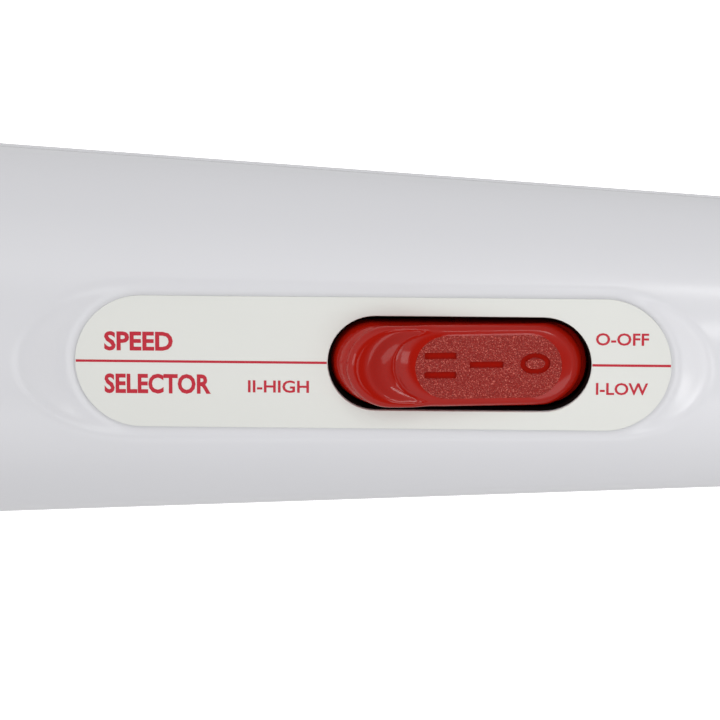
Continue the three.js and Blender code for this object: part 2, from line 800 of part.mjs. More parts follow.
add(wand, "motor_shaft", "steel", rod("x", motor.shaft, -8.2, 98));
add(wand, "cooling_fan", "nylon", coolingFan());
add(wand, "motor_can", "zinc", motorCan());
add(wand, "motor_end_cap", "black", motorEndCap());
add(wand, "motor_bearing_front", "brass", motorBearing(motor.front - 3));
add(wand, "motor_bearing_rear", "brass", motorBearing(motor.rear - 1.5));
[0, Math.PI].forEach((angle, i) => add(wand, `magnet_${i + 1}`, "ferrite", magnet(angle)));
add(wand, "rotor_core", "zinc", rotorCore());
add(wand, "rotor_winding_front", "copper", windings(motor.front + 4.3));
add(wand, "rotor_winding_rear", "copper", windings(motor.front + 44.3));
add(wand, "commutator", "copper", commutator());
[1, -1].forEach((side, i) => add(wand, `brush_${i + 1}`, "ferrite", brushOn(side)));
add(wand, "motor_mount_front", "rubber", mountRing(motor.front - 3.2));
add(wand, "motor_mount_rear", "rubber", mountRing(motor.rear + 0.5));

add(wand, "circuit_board", "board", circuitBoard());
add(wand, "rectifier", "black", rectifier());
add(wand, "capacitor", "accent", capacitor());
add(wand, "thermal_fuse", "nylon", thermalFuse());
add(wand, "cord_clamp", "nylon", cordClamp());
[1, -1].forEach((side, i) => add(wand, `clamp_screw_${i + 1}`, "steel", clampScrew(side)));

// Everything on the deck is drawn flat and turned with it.
const deckGroup = new THREE.Group();
deckGroup.applyMatrix4(deckFrame);
wand.add(deckGroup);

add(deckGroup, "control_label", "label", controlLabel());
add(deckGroup, "switch_housing", "black", switchHousing());
add(deckGroup, "terminal_low", "brass", terminal(terminalPlaces[0], housing.bottom + 2.6));
add(deckGroup, "terminal_common", "brass", terminal(terminalPlaces[1], leverPivot - 0.7));
add(deckGroup, "terminal_high", "brass", terminal(terminalPlaces[2], housing.bottom + 2.6));

// The switch is off: the end of the rocker nearer the tail is pressed in, and the lever leans the other way.
const rockerGroup = new THREE.Group();
rockerGroup.position.set(0, 0, rocker.pivot);
rockerGroup.rotation.y = rocker.throw;
deckGroup.add(rockerGroup);
add(rockerGroup, "rocker_button", "red", rockerButton(), 0, 0, -rocker.pivot);
add(rockerGroup, "detent_plunger", "nylon", detentPlunger(), 0, 0, -rocker.pivot);
add(rockerGroup, "detent_spring", "steel", detentSpring(), 0, 0, -rocker.pivot);

const leverGroup = new THREE.Group();
leverGroup.position.set(0, 0, leverPivot);
leverGroup.rotation.y = -rocker.throw / 2;
deckGroup.add(leverGroup);
add(leverGroup, "contact_lever", "brass", contactLever());

// The rating label lies in a shallow pocket of the resting flat.
const restGroup = new THREE.Group();
restGroup.applyMatrix4(restFrame.clone().invert());
wand.add(restGroup);
add(restGroup, "rating_label", "silver", ratingPlate());

// Centre the resting wand over the origin.
const extent = new THREE.Box3().setFromObject(wand, true);
wand.position.x = -(extent.min.x + extent.max.x) / 2;

export default wand;
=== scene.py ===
# %% [markdown]
# # A handheld wand massager
# The packed model gives every body, node and joint of the wand. This script draws the pieces that show, finer
# than the packed solids, and gives every piece its finish. The wand lies on the floor with its switch up.

import json
import math

import bmesh
import bpy
import numpy as np
from mathutils import Matrix, Vector


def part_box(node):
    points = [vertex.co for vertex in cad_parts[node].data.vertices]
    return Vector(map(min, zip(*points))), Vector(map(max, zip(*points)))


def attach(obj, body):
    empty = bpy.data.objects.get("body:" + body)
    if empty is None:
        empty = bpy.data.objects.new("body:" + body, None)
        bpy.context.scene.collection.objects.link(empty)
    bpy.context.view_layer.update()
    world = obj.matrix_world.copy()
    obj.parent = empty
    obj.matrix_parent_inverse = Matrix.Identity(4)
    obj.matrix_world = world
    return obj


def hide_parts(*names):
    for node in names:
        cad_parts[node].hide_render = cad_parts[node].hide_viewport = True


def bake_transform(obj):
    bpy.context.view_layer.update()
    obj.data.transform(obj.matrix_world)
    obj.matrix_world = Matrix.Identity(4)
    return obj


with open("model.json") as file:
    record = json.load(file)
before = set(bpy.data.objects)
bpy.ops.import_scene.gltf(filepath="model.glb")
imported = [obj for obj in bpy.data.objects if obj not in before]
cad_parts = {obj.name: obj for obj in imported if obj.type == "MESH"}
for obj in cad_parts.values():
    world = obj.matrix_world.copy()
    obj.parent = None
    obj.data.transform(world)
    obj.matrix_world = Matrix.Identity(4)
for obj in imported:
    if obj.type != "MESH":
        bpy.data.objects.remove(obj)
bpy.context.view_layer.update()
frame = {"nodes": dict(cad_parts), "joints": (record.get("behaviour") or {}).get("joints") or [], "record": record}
scene = bpy.context.scene

# %% [markdown]
# ## Two drawing frames
# A wand is easiest to draw about its own axis, in millimetres: x runs from the head to the tail, x = 0 is the
# front face of the handle and z points to the switch. The joints of the packed model say where that axis
# lies, so no place is typed in by hand. The label and the switch lie on a flat deck that leans once more by
# the cone's half angle, and they get a frame of their own.

# %% Where the wand and its deck lie
joints = {joint["name"]: joint for joint in frame["joints"]}
MM = 0.001
NECK_X = -14.6  # the neck's centre on the wand's axis
PIVOT_Z = -8  # the rocker's pivot below the deck
TAPER = 0.0577
LEAN = math.atan(TAPER)


def drawing_frame(origin, lean):
    """The matrix that takes millimetres in a frame that leans about y to metres in the world."""
    return Matrix.Translation(origin) @ Matrix.Rotation(lean, 4, "Y") @ Matrix.Scale(MM, 4)


def wand_direction(lean):
    turn = Matrix.Rotation(lean, 3, "Y")
    return turn @ Vector((1, 0, 0)), turn @ Vector((0, 0, 1))


along, _ = wand_direction(LEAN)
_, deck_up = wand_direction(2 * LEAN)
WAND = drawing_frame(Vector(joints["neck_pitch"]["pos_m"]) - NECK_X * MM * along, LEAN)
DECK = drawing_frame(Vector(joints["rocker_tilt"]["pos_m"]) - PIVOT_Z * MM * deck_up, 2 * LEAN)
WAND_TO_DECK = np.array(DECK.inverted() @ WAND)
print("wand origin:", [round(v, 5) for v in WAND.translation])
print("deck origin:", [round(v, 5) for v in DECK.translation])

# %% [markdown]
# ## Making a mesh
# Nearly every piece here is a skin of rings or rows of points, so one helper joins rows of points with
# four-sided faces and closes the ends. The mesh is smooth, and only its real corners are kept sharp. A piece
# moves with a body and takes the place of a packed node, and stands_for says both.

# %% Mesh helpers
SHARP = math.radians(38)
WELD = 1e-7  # points closer than this, in metres, are one


def mesh_piece(name, points, faces, place, finish=None, sharp=SHARP):
    """A new object from points in millimetres, placed by a drawing frame."""
    mesh = bpy.data.meshes.new(name)
    mesh.from_pydata([place @ Vector(p) for p in np.asarray(points, float)], [], faces)
    mesh.update()
    tidy_mesh(mesh, sharp)
    piece = bpy.data.objects.new(name, mesh)
    scene.collection.objects.link(piece)
    if finish:
        for material in finish if isinstance(finish, list) else [finish]:
            mesh.materials.append(material)
    return piece


def tidy_mesh(mesh, sharp=SHARP):
    """Turns all faces outwards, smooths them, and keeps corners sharper than an angle."""
    work = bmesh.new()
    work.from_mesh(mesh)
    bmesh.ops.remove_doubles(work, verts=work.verts, dist=WELD)
    bmesh.ops.recalc_face_normals(work, faces=work.faces)
    work.to_mesh(mesh)
    work.free()
    mesh.shade_smooth()
    mesh.set_sharp_from_angle(angle=sharp)


def skin(rows, closed=True, caps=True):
    """Points and faces of rows of equal length. A closed row is joined from its end to its start."""
    rows = [np.asarray(row, float) for row in rows]
    count = len(rows[0])
    steps = count if closed else count - 1
    faces = []
    for i in range(len(rows) - 1):
        for k in range(steps):
            a, b = i * count + k, i * count + (k + 1) % count
            faces.append((a, b, b + count, a + count))
    if caps:
        faces.append(tuple(range(count)))
        faces.append(tuple(range((len(rows) - 1) * count, len(rows) * count)))
    return np.concatenate(rows), faces


def carve(piece, tools, operation="DIFFERENCE", sharp=SHARP):
    """Cuts tools from a piece, or joins them to it, and keeps the plain mesh that comes out."""
    for tool in tools:
        step = piece.modifiers.new("carve", "BOOLEAN")
        step.operation, step.solver, step.object = operation, "EXACT", tool
        step.material_mode = "INDEX"
    bpy.context.view_layer.update()
    made = bpy.data.meshes.new_from_object(piece.evaluated_get(bpy.context.evaluated_depsgraph_get()))
    piece.modifiers.clear()
    piece.data = made
    for tool in tools:
        bpy.data.objects.remove(tool)
    tidy_mesh(made, sharp)
    return piece


def stands_for(piece, node, body="handle"):
    """The piece moves with a body and takes the place of a packed node."""
    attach(piece, body)
    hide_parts(node)
    print(piece.name, "has", len(piece.data.polygons), "faces")


# %% [markdown]
# ## Round and long-round shapes
# Two families of section make up the wand: circles about its axis, and the long shape with two round ends of
# the label, the switch and the rocker. Each is a list of stations, like the drawing that a turner works from.

# %% Section helpers
def around(sides):
    """Equal angles once around a circle."""
    return 2 * math.pi * np.arange(sides) / sides


def turned(outline, segments):
    """Rings about the wand's axis through a list of (x, radius)."""
    angles = around(segments)
    return [np.stack([np.full(segments, x), r * np.cos(angles), r * np.sin(angles)], 1) for x, r in outline]


def stadium(half_length, half_width, z=0.0, centre=0.0, arc=24, flat=20):
    """A ring of points around a long shape with two round ends."""
    straight = half_length - half_width
    angles = np.linspace(-math.pi / 2, math.pi / 2, arc, endpoint=False)
    right = np.stack([straight + half_width * np.cos(angles), half_width * np.sin(angles)], 1)
    run = np.linspace(straight, -straight, flat, endpoint=False)
    top = np.stack([run, np.full(flat, half_width)], 1)
    half = np.concatenate([right, top])
    ring = np.concatenate([half, -half])
    return np.column_stack([ring[:, 0] + centre, ring[:, 1], np.full(len(ring), float(z))])


def fillet(corner, before, after, radius, steps=5):
    """Points of a small round in place of a corner between two other points of an outline."""
    corner, before, after = (np.asarray(p, float) for p in (corner, before, after))
    to_before = (before - corner) / np.linalg.norm(before - corner)
    to_after = (after - corner) / np.linalg.norm(after - corner)
    start, end = corner + radius * to_before, corner + radius * to_after
    share = np.linspace(0, 1, steps)[:, None]
    return [tuple(p) for p in (1 - share) ** 2 * start + 2 * share * (1 - share) * corner + share**2 * end]


def rounded(outline, radii, closed=False, steps=5):
    """An outline with its corners rounded. Radii gives each corner's radius, 0 for a sharp one."""
    made = []
    count = len(outline)
    for i, (point, radius) in enumerate(zip(outline, radii)):
        at_end = not closed and i in (0, count - 1)
        if radius == 0 or at_end:
            made.append(tuple(point))
        else:
            made += fillet(point, outline[i - 1], outline[(i + 1) % count], radius, steps)
    return made


def turned_solid(name, outline, finish=None, segments=96):
    """A turned piece. An outline that starts and ends on the axis is closed there, any other is a ring."""
    on_axis = outline[0][1] == 0 and outline[-1][1] == 0
    stations = outline[1:-1] if on_axis else list(outline) + [outline[0]]
    if on_axis:
        points, faces = skin(turned(stations, segments))
        # Each flat or domed end closes to one point on the axis instead of one large face.
        faces = faces[:-2]
        first, last = len(points), len(points) + 1
        points = np.vstack([points, [[outline[0][0], 0, 0]], [[outline[-1][0], 0, 0]]])
        base = (len(stations) - 1) * segments
        faces += [(first, (k + 1) % segments, k) for k in range(segments)]
        faces += [(last, base + k, base + (k + 1) % segments) for k in range(segments)]
    else:
        points, faces = skin(turned(stations, segments), caps=False)
    return mesh_piece(name, points, faces, WAND, finish)


def prism(name, rings, finish=None, place=DECK):
    """A solid with a flat top and bottom through a list of rings."""
    points, faces = skin(rings)
    return mesh_piece(name, points, faces, place, finish)


print("a stadium of 20 x 10 has", len(stadium(10, 5)), "points")

# %% [markdown]
# ## Writing a finish
# A finish is a Principled shader and a few texture nodes. Adding nodes by hand makes long scripts, so one
# small class wraps a socket: arithmetic on it adds Math nodes, and its method node() adds any other node.

# %% Wire, a socket that can be calculated with
class Wire:
    """One socket of a node tree. A Wire with no socket only starts a tree."""

    def __init__(self, tree, socket=None):
        self.tree, self.socket = tree, socket

    def node(self, kind, settings=None, inputs=None, output=0):
        """Adds a node: its settings first, then the values or wires of its sockets."""
        made = self.tree.nodes.new(kind)
        for setting, value in (settings or {}).items():
            setattr(made, setting, value)
        for key, value in (inputs or {}).items():
            if isinstance(value, Wire):
                self.tree.links.new(value.socket, made.inputs[key])
            else:
                made.inputs[key].default_value = value
        return Wire(self.tree, made.outputs[output])

    def math(self, operation, first, second=0.0):
        return self.node("ShaderNodeMath", {"operation": operation}, {0: first, 1: second})

    def __add__(self, other):
        return self.math("ADD", self, other)

    def __sub__(self, other):
        return self.math("SUBTRACT", self, other)

    def __rsub__(self, other):
        return self.math("SUBTRACT", other, self)

    def __mul__(self, other):
        return self.math("MULTIPLY", self, other)

    __radd__ = __add__
    __rmul__ = __mul__

    def mix(self, low, high):
        """A colour between two, by this wire. Sockets 6 and 7 and output 2 are the Mix node's colours."""
        return self.node("ShaderNodeMix", {"data_type": "RGBA"}, {0: self, 6: (*low, 1), 7: (*high, 1)}, 2)

    def noise(self, size, detail=2.0, rough=0.5):
        """Soft noise whose lumps are about size millimetres across, in the wand's own millimetres."""
        values = {"Vector": self, "Scale": 1 / size, "Detail": detail, "Roughness": rough}
        return self.node("ShaderNodeTexNoise", {"noise_dimensions": "3D"}, values)

    def cells(self, size):
        """Small pits, about size millimetres apart."""
        return self.node("ShaderNodeTexVoronoi", None, {"Vector": self, "Scale": 1 / size}, "Distance")

    def steps(self, low, high):
        """0 below low, 1 above high, smooth between."""
        values = {"Value": self, "From Min": low, "From Max": high}
        return self.node("ShaderNodeMapRange", {"interpolation_type": "SMOOTHSTEP"}, values)

    def axis(self, name):
        return self.node("ShaderNodeSeparateXYZ", None, {0: self}, output=name)

    def stretched(self, x, y, z):
        """The place scaled along each axis. A share below 1 draws a texture out."""
        return self.node("ShaderNodeVectorMath", {"operation": "MULTIPLY"}, {0: self, 1: (x, y, z)})

    def bump(self, depth):
        """A normal from this wire as a height, depth millimetres deep."""
        return self.node("ShaderNodeBump", None, {"Strength": 1.0, "Distance": depth * MM, "Height": self})


def look(color, roughness, normal=None):
    """The wires of a finish, by the names of the shader's sockets."""
    wires = {"Base Color": color, "Roughness": roughness}
    return wires | {"Normal": normal} if normal else wires


def new_finish(name, draw, constants=None):
    """A material. draw(place) gives the wires for the shader, and constants are set on the shader itself."""
    material = bpy.data.materials.new(name)
    material.use_nodes = True
    tree = material.node_tree
    tree.nodes.clear()
    start = Wire(tree)
    world = start.node("ShaderNodeTexCoord", None, None, output="Object")
    fit = {"Vector": world, "Location": WAND.translation, "Rotation": (0, LEAN, 0), "Scale": (MM, MM, MM)}
    place = start.node("ShaderNodeMapping", {"vector_type": "TEXTURE"}, fit)
    shader = start.node("ShaderNodeBsdfPrincipled", None, (constants or {}) | draw(place))
    output = tree.nodes.new("ShaderNodeOutputMaterial")
    tree.links.new(shader.socket, output.inputs["Surface"])
    return material


print("Wire calculates with", [name for name in vars(Wire) if name.startswith("__r")])

# %% [markdown]
# ## The finishes
# Moulded plastic is never one flat colour: the mould leaves a faint orange peel, gloss changes a little over
# the surface, and dust-fine grain breaks up the reflection. Each finish below says that with noise in its
# colour, roughness and normal. Lumps are given in millimetres, so they have their real size.

# %% Plastics that show
def casing_white(place):
    peel = place.noise(3.2) + 0.25 * place.noise(0.8, 1.0)
    cloud = place.noise(28, 3.0)
    color = cloud.mix((0.742, 0.742, 0.767), (0.756, 0.756, 0.78))
    return look(color, 0.17 + 0.05 * place.noise(6, 4.0), peel.bump(0.010))


def label_satin(place):
    grain = place.noise(0.16)
    color = place.noise(9, 3.0).mix((0.765, 0.77, 0.732), (0.78, 0.785, 0.747))
    return look(color, 0.46 + 0.08 * grain, grain.bump(0.004))


def ink_red(place):
    color = place.noise(0.4).mix((0.50, 0.012, 0.030), (0.56, 0.018, 0.040))
    return look(color, 0.38 + 0.1 * place.noise(0.3))


def rocker_gloss(place):
    peel = place.noise(1.6)
    color = place.noise(7).mix((0.345, 0.0065, 0.0020), (0.38, 0.008, 0.0026))
    return look(color, 0.08 + 0.04 * place.noise(2.5, 3.0), peel.bump(0.006))


def rocker_grain_and_glints(place):
    grain = place.noise(0.19, 1.0, 0.6)
    pits = place.cells(0.28)
    # Where the grain stands high the red turns pale pink. These are painted glints that stand in for light
    # catching the grain, laid over the grain's real bumps.
    painted_glints = grain.steps(0.52, 0.74)
    color = painted_glints.mix((0.30, 0.010, 0.005), (0.72, 0.16, 0.12))
    return look(color, 0.24 + 0.16 * grain, (grain + 0.5 * pits).bump(0.26))


def switch_black(place):
    grain = place.noise(0.35, 3.0)
    # Nearly lightless: the switch's own black, darkened further as painted shade for the gap around the rocker.
    # Its weak reflection is set among the slots.
    color = grain.mix((0.002, 0.0015, 0.0012), (0.005, 0.0035, 0.003))
    return look(color, 0.5 + 0.2 * grain, grain.bump(0.01))


def collar_grey(place):
    grain = place.noise(0.30)
    color = place.noise(5, 3.0).mix((0.37, 0.385, 0.43), (0.40, 0.415, 0.46))
    return look(color, 0.32 + 0.12 * grain, grain.bump(0.008))


def soft_vinyl(place):
    grain = place.noise(0.55, 3.0, 0.6)
    color = place.noise(18, 3.0).mix((0.66, 0.655, 0.64), (0.70, 0.695, 0.68))
    return look(color, 0.50 + 0.12 * grain, (grain + 0.4 * place.cells(0.9)).bump(0.035))


def black_rubber(place):
    grain = place.noise(0.4, 4.0, 0.65)
    color = grain.mix((0.016, 0.016, 0.018), (0.034, 0.034, 0.037))
    return look(color, 0.68 + 0.2 * grain, grain.bump(0.03))


def nylon(place):
    grain = place.noise(0.8, 3.0)
    color = place.noise(6, 3.0).mix((0.74, 0.73, 0.66), (0.80, 0.79, 0.72))
    return look(color, 0.42 + 0.18 * grain, grain.bump(0.02))


# %% [markdown]
# ## Metals, magnet and board
# Metals differ in how they were made: plated steel is mottled, a turned brass bush carries fine rings around
# its axis, a winding is a stack of thin wires, a cast weight is grainy. The same few waves and noises,
# stretched along the wand or squeezed across it, say all of that.

# %% Metals and electrical finishes
def plated_steel(place):
    streak = place.stretched(0.25, 1, 1).noise(0.7, 3.0)
    color = place.noise(3, 4.0).mix((0.50, 0.51, 0.53), (0.64, 0.65, 0.66))
    return look(color, 0.24 + 0.2 * streak, streak.bump(0.01))


def cast_metal(place):
    grain = place.noise(0.9, 5.0, 0.65)
    color = grain.mix((0.30, 0.31, 0.335), (0.42, 0.43, 0.455))
    return look(color, 0.38 + 0.22 * grain, grain.bump(0.05))


def brass(place):
    rings = place.stretched(6, 0.2, 0.2).noise(0.9)
    color = place.noise(2.5, 3.0).mix((0.52, 0.36, 0.12), (0.64, 0.46, 0.18))
    return look(color, 0.24 + 0.18 * rings, rings.bump(0.012))


def copper(place):
    wires = place.node(
        "ShaderNodeTexWave",
        {"wave_type": "BANDS", "bands_direction": "X", "wave_profile": "SIN"},
        {"Vector": place, "Scale": 1.1, "Distortion": 0.6, "Detail": 1.0},
        output="Fac",
    )
    color = wires.mix((0.30, 0.10, 0.04), (0.62, 0.26, 0.12))
    return look(color, 0.30 + 0.15 * wires, wires.bump(0.10))


def ferrite(place):
    grain = place.noise(0.5, 4.0, 0.7)
    color = grain.mix((0.030, 0.031, 0.034), (0.065, 0.066, 0.070))
    return look(color, 0.55 + 0.25 * grain, grain.bump(0.04))


def board_green(place):
    weave = place.stretched(1, 1, 0).cells(1.1)
    tracks = place.node(
        "ShaderNodeTexBrick",
        {"offset": 0.5},
        {"Vector": place, "Scale": 0.16, "Mortar Size": 0.03},
        output="Fac",
    )
    color = tracks.mix((0.012, 0.115, 0.035), (0.03, 0.20, 0.07))
    return look(color, 0.30 + 0.15 * weave, (tracks + 0.2 * weave).bump(0.05))


def foil_silver(place):
    brushed = place.stretched(0.08, 2.2, 1).noise(0.5, 3.0)
    color = brushed.mix((0.50, 0.51, 0.525), (0.60, 0.61, 0.62))
    return look(color, 0.34 + 0.14 * brushed, brushed.bump(0.004))


# %% [markdown]
# A value that is the same all over a piece, such as the metallic share of a metal or how strongly a black
# well reflects, is set on the shader itself. Each finish is kept by the name of its material slot.

# %% Every finish by its slot name
METAL = {"Metallic": 1.0}
slot_looks = {
    "casing_white": (casing_white, {"IOR": 1.50}),
    "label_satin": (label_satin, {"IOR": 1.45}),
    "foil_silver": (foil_silver, {"Metallic": 0.8}),
    "rocker_red": (rocker_gloss, {"Specular IOR Level": 0.24}),
    "switch_black": (switch_black, {"Specular IOR Level": 0.15}),
    "collar_grey": (collar_grey, {}),
    "soft_vinyl": (soft_vinyl, {}),
    "black_rubber": (black_rubber, {}),
    "nylon": (nylon, {}),
    "plated_steel": (plated_steel, METAL),
    "cast_metal": (cast_metal, METAL),
    "brass": (brass, METAL),
    "copper": (copper, METAL),
    "ferrite": (ferrite, {}),
    "board_green": (board_green, {}),
}
finishes = {slot: new_finish(slot, draw, fixed) for slot, (draw, fixed) in slot_looks.items()}
# The pad's red has real grain in its bumps and painted glints in its colour.
grain_and_glint_red = new_finish("rocker_grain_and_glints", rocker_grain_and_glints, {"Specular IOR Level": 0.3})
printed_red = new_finish("ink_red", ink_red)
print("finishes:", sorted(finishes), "and two more reds")

# %% [markdown]
# ## The camera
# A long lens a little to the tail side of the switch and low of it, so that the handle fills the frame from
# edge to edge. It is set in the wand's own frame and then carried to the floor with the wand.

# %% Camera
camera_data = bpy.data.cameras.new("camera")
camera_data.lens = 200
camera_data.sensor_width = 36
camera_data.clip_start = 0.01
camera = bpy.data.objects.new("camera", camera_data)
scene.collection.objects.link(camera)
camera_place = Vector((169.06, 112.76, 600))
camera_turn = Vector((-0.191, 0.1008, 0.0107))
level = Matrix.Rotation(LEAN, 4, "Y") @ Matrix.Rotation(camera_turn.length, 4, camera_turn.normalized())
camera.matrix_world = Matrix.Translation(WAND @ camera_place) @ level
bpy.context.scene.camera = camera
print("camera:", tuple(round(v, 3) for v in camera.location))

# %% [markdown]
# ## Floor and light
# A white studio: the sky lights the wand softly from above and dims towards the floor, so the sides of the
# cone shade off. Soft boxes add the long reflections of a glossy moulding. The floor glows a little, so it
# stays clean white around the wand.

# %% Floor
FLOOR_HALF, FLOOR_DROP = 20.0, 0.0004  # metres


def floor_white(place):
    color = place.noise(900).mix((0.90, 0.90, 0.90), (0.92, 0.92, 0.92))
    return look(color, 0.9 + 0.05 * place.noise(60))


floor_glow = {"Emission Color": (1, 1, 1, 1), "Emission Strength": 0.8}
floor_finish = new_finish("floor_white", floor_white, floor_glow)
floor_rows = [[(-1, -1, 0), (1, -1, 0)], [(-1, 1, 0), (1, 1, 0)]]
points, faces = skin(floor_rows, closed=False, caps=False)
floor = mesh_piece("floor", points, faces, Matrix.Scale(FLOOR_HALF, 4), floor_finish)
floor.location.z = -FLOOR_DROP
floor.visible_diffuse = False
floor.visible_glossy = False
print("floor:", 2 * FLOOR_HALF, "m square")

# %% [markdown]
# A glossy top mirrors the sky right above it, so a bright zenith would veil the white of the casing and the
# red of the rocker. The sky is therefore dark overhead and bright in a wide ring below that. The camera
# itself sees a plain white backdrop, whichever way it looks.

# %% Sky and soft boxes
SKY_BASE, SKY_TOP, SKY_HEAD = 0.615, 0.735, -0.275
ZENITH_DARK, DARK_FROM, DARK_TO = 0.92, 0.66, 0.90
BACKDROP = 1.3
scene.view_settings.view_transform = "Standard"
world = bpy.data.worlds.new("studio")
scene.world = world
world.use_nodes = True
world.node_tree.nodes.clear()
sky = Wire(world.node_tree)
direction = sky.node("ShaderNodeTexCoord", None, None, output="Generated")
rise = direction.axis("Z")
height = rise.math("MAXIMUM", rise, 0.0)
towards_tail = direction.axis("X")
opening_above = 1 - ZENITH_DARK * rise.steps(DARK_FROM, DARK_TO)
glow = (SKY_BASE + SKY_TOP * height + SKY_HEAD * towards_tail) * opening_above
lit = sky.node("ShaderNodeBackground", None, {"Color": (0.992, 0.992, 1, 1), "Strength": glow})
plain = sky.node("ShaderNodeBackground", None, {"Color": (1, 1, 1, 1), "Strength": BACKDROP})
seen = sky.node("ShaderNodeLightPath", None, None, output="Is Camera Ray")
both = sky.node("ShaderNodeMixShader", None, {0: seen, 1: lit, 2: plain})
world_out = world.node_tree.nodes.new("ShaderNodeOutputWorld")
world.node_tree.links.new(both.socket, world_out.inputs["Surface"])


def soft_box(name, place, aim, size, watts):
    """A rectangular lamp at place, in wand millimetres, that faces aim."""
    data = bpy.data.lights.new(name, "AREA")
    data.shape, data.size, data.size_y, data.energy = "RECTANGLE", size[0], size[1], watts
    lamp = bpy.data.objects.new(name, data)
    scene.collection.objects.link(lamp)
    here, there = WAND @ Vector(place), WAND @ Vector(aim)
    turn = (there - here).to_track_quat("-Z", "Y").to_matrix().to_4x4()
    lamp.matrix_world = Matrix.Translation(here) @ turn
    lamp.visible_camera = False
    return lamp


DISH = (112, 0, 22)  # middle of the label
TAIL_TOP = (165, 4, 22)
soft_box("box_head", (-480, 40, 560), DISH, (0.24, 0.28), 0.62)
soft_box("box_label", (115, -60, 320), DISH, (0.085, 0.11), 0.045)
soft_box("box_tail", (238, 110, 330), TAIL_TOP, (0.10, 0.09), 0.125)
soft_box("box_corner", (347, 360, 382), DISH, (0.36, 0.040), 0.38)
soft_box("box_low", (245, -110, 150), (190, -10, 15), (0.12, 0.08), 0.056)

# %% [markdown]
# ## The handle's outline
# The handle is a plain cone whose head end rounds off in a dome and whose tail ends in a round corner. Both
# shells are drawn from the same outline, so they meet at the parting line.

# %% Outline of the handle
HANDLE_LENGTH = 222
WALL = 2.6
TAIL_ROUND = 7
LIP_X = 2.5  # where the rounded front lip runs into the dome
SHOULDER_R, SHOULDER_X, DOME = 30.05, 24, 34
JOIN_X = SHOULDER_X + TAPER * DOME**2 / SHOULDER_R
PARTING = 0.15  # half of the fine gap between the shells


def dome_radius(x):
    return SHOULDER_R * math.sqrt(1 - ((x - SHOULDER_X) / DOME) ** 2)


def handle_radius(x):
    return dome_radius(x) if x < JOIN_X else dome_radius(JOIN_X) - TAPER * (x - JOIN_X)


def handle_stations(middle):
    """(x, radius) from the front face to the tail, with the given stations on the cone."""
    lip = [(0, 15), (0, handle_radius(0) + 0.2), (LIP_X, handle_radius(LIP_X))]
    front = rounded(lip, (0, 1.4, 0), steps=7)[1:-1]
    dome = [(x, handle_radius(x)) for x in np.arange(LIP_X, JOIN_X, 1.3)]
    cone = [(x, handle_radius(x)) for x in middle]
    tail_x = HANDLE_LENGTH - TAIL_ROUND
    tail_r = handle_radius(tail_x)
    corner = [
        (tail_x + TAIL_ROUND * math.sin(a), tail_r - TAIL_ROUND * (1 - math.cos(a)))
        for a in np.linspace(0, math.pi / 2, 12)
    ]
    return front + dome + cone + corner


def half_rows(stations, angles):
    """Rows along the handle at the given angles, between two softly rounded parting edges."""
    edge = [(PARTING, 0.30), (PARTING + 0.05, 0.16), (PARTING + 0.16, 0.05), (PARTING + 0.34, 0)]
    x, r = np.array(stations).T
    rows = [np.stack([x, np.sqrt((r - inset) ** 2 - z**2), np.full(len(x), z)], 1) for z, inset in edge]
    rows += [np.stack([x, r * math.cos(a), r * math.sin(a)], 1) for a in angles]
    far = [row * (1, -1, 1) for row in reversed(rows[: len(edge)])]
    return rows + far


def closed_half(rows):
    """Points and faces of a half handle: its skin, its flat parting face and its two end faces."""
    points, faces = skin(rows, closed=False, caps=False)
    count, last = len(rows[0]), (len(rows) - 1) * len(rows[0])
    faces.append(tuple(range(count)) + tuple(last + k for k in reversed(range(count))))
    faces.append(tuple(i * count for i in range(len(rows))))
    faces.append(tuple(i * count + count - 1 for i in range(len(rows))))
    return points, faces


print("outline ready, tail radius", round(handle_radius(HANDLE_LENGTH), 2))

# %% [markdown]
# ## The dish of the front shell
# The label lies in a dish that is sunk into the cone: a flat floor, soft ramps at both ends, and sides that
# run out where the cone itself drops to the floor's height. A Boolean cut would leave hard edges, so the dish
# is modelled as a height field instead. Each point of the cone keeps its place along and across the deck, and
# its height becomes the soft minimum of the cone and the dish. The soft minimum rounds the rim.

# %% Heights of the dish
LABEL_HALF, LABEL_WIDE, LABEL_CENTRE = 44.1, 9.85, -12.85
LABEL_BOTTOM, LABEL_TOP = 0.1, 0.5
FLOOR_MARGIN = 0.9
RAMP_HEAD, RAMP_TAIL, RAMP_RISE, RAMP_CURVE = 7.0, 4.3, 2.7, 1.35
RIM_ROUND = 0.9
FIELD_LOW = -3  # below this the cone is left alone


def outside_stadium(x, y, half_length, half_width, centre=0.0):
    """Distance outside the long round shape, less than nothing inside it."""
    over = np.maximum(np.abs(x - centre) - (half_length - half_width), 0)
    return np.hypot(over, y) - half_width


def smooth_step(value, low, high):
    share = np.clip((value - low) / (high - low), 0, 1)
    return share * share * (3 - 2 * share)


def soft_min(a, b, reach):
    near = np.maximum(reach - np.abs(a - b), 0) / reach
    return np.minimum(a, b) - near**2 * reach / 4


def dish_height(x, y):
    half_length, half_width = LABEL_HALF + FLOOR_MARGIN, LABEL_WIDE + FLOOR_MARGIN
    away = np.maximum(outside_stadium(x, y, half_length, half_width, LABEL_CENTRE), 0)
    tail_side = smooth_step(x, LABEL_CENTRE - 20, LABEL_CENTRE + 20)
    ramp = RAMP_HEAD + (RAMP_TAIL - RAMP_HEAD) * tail_side
    return RAMP_RISE * (away / ramp) ** RAMP_CURVE


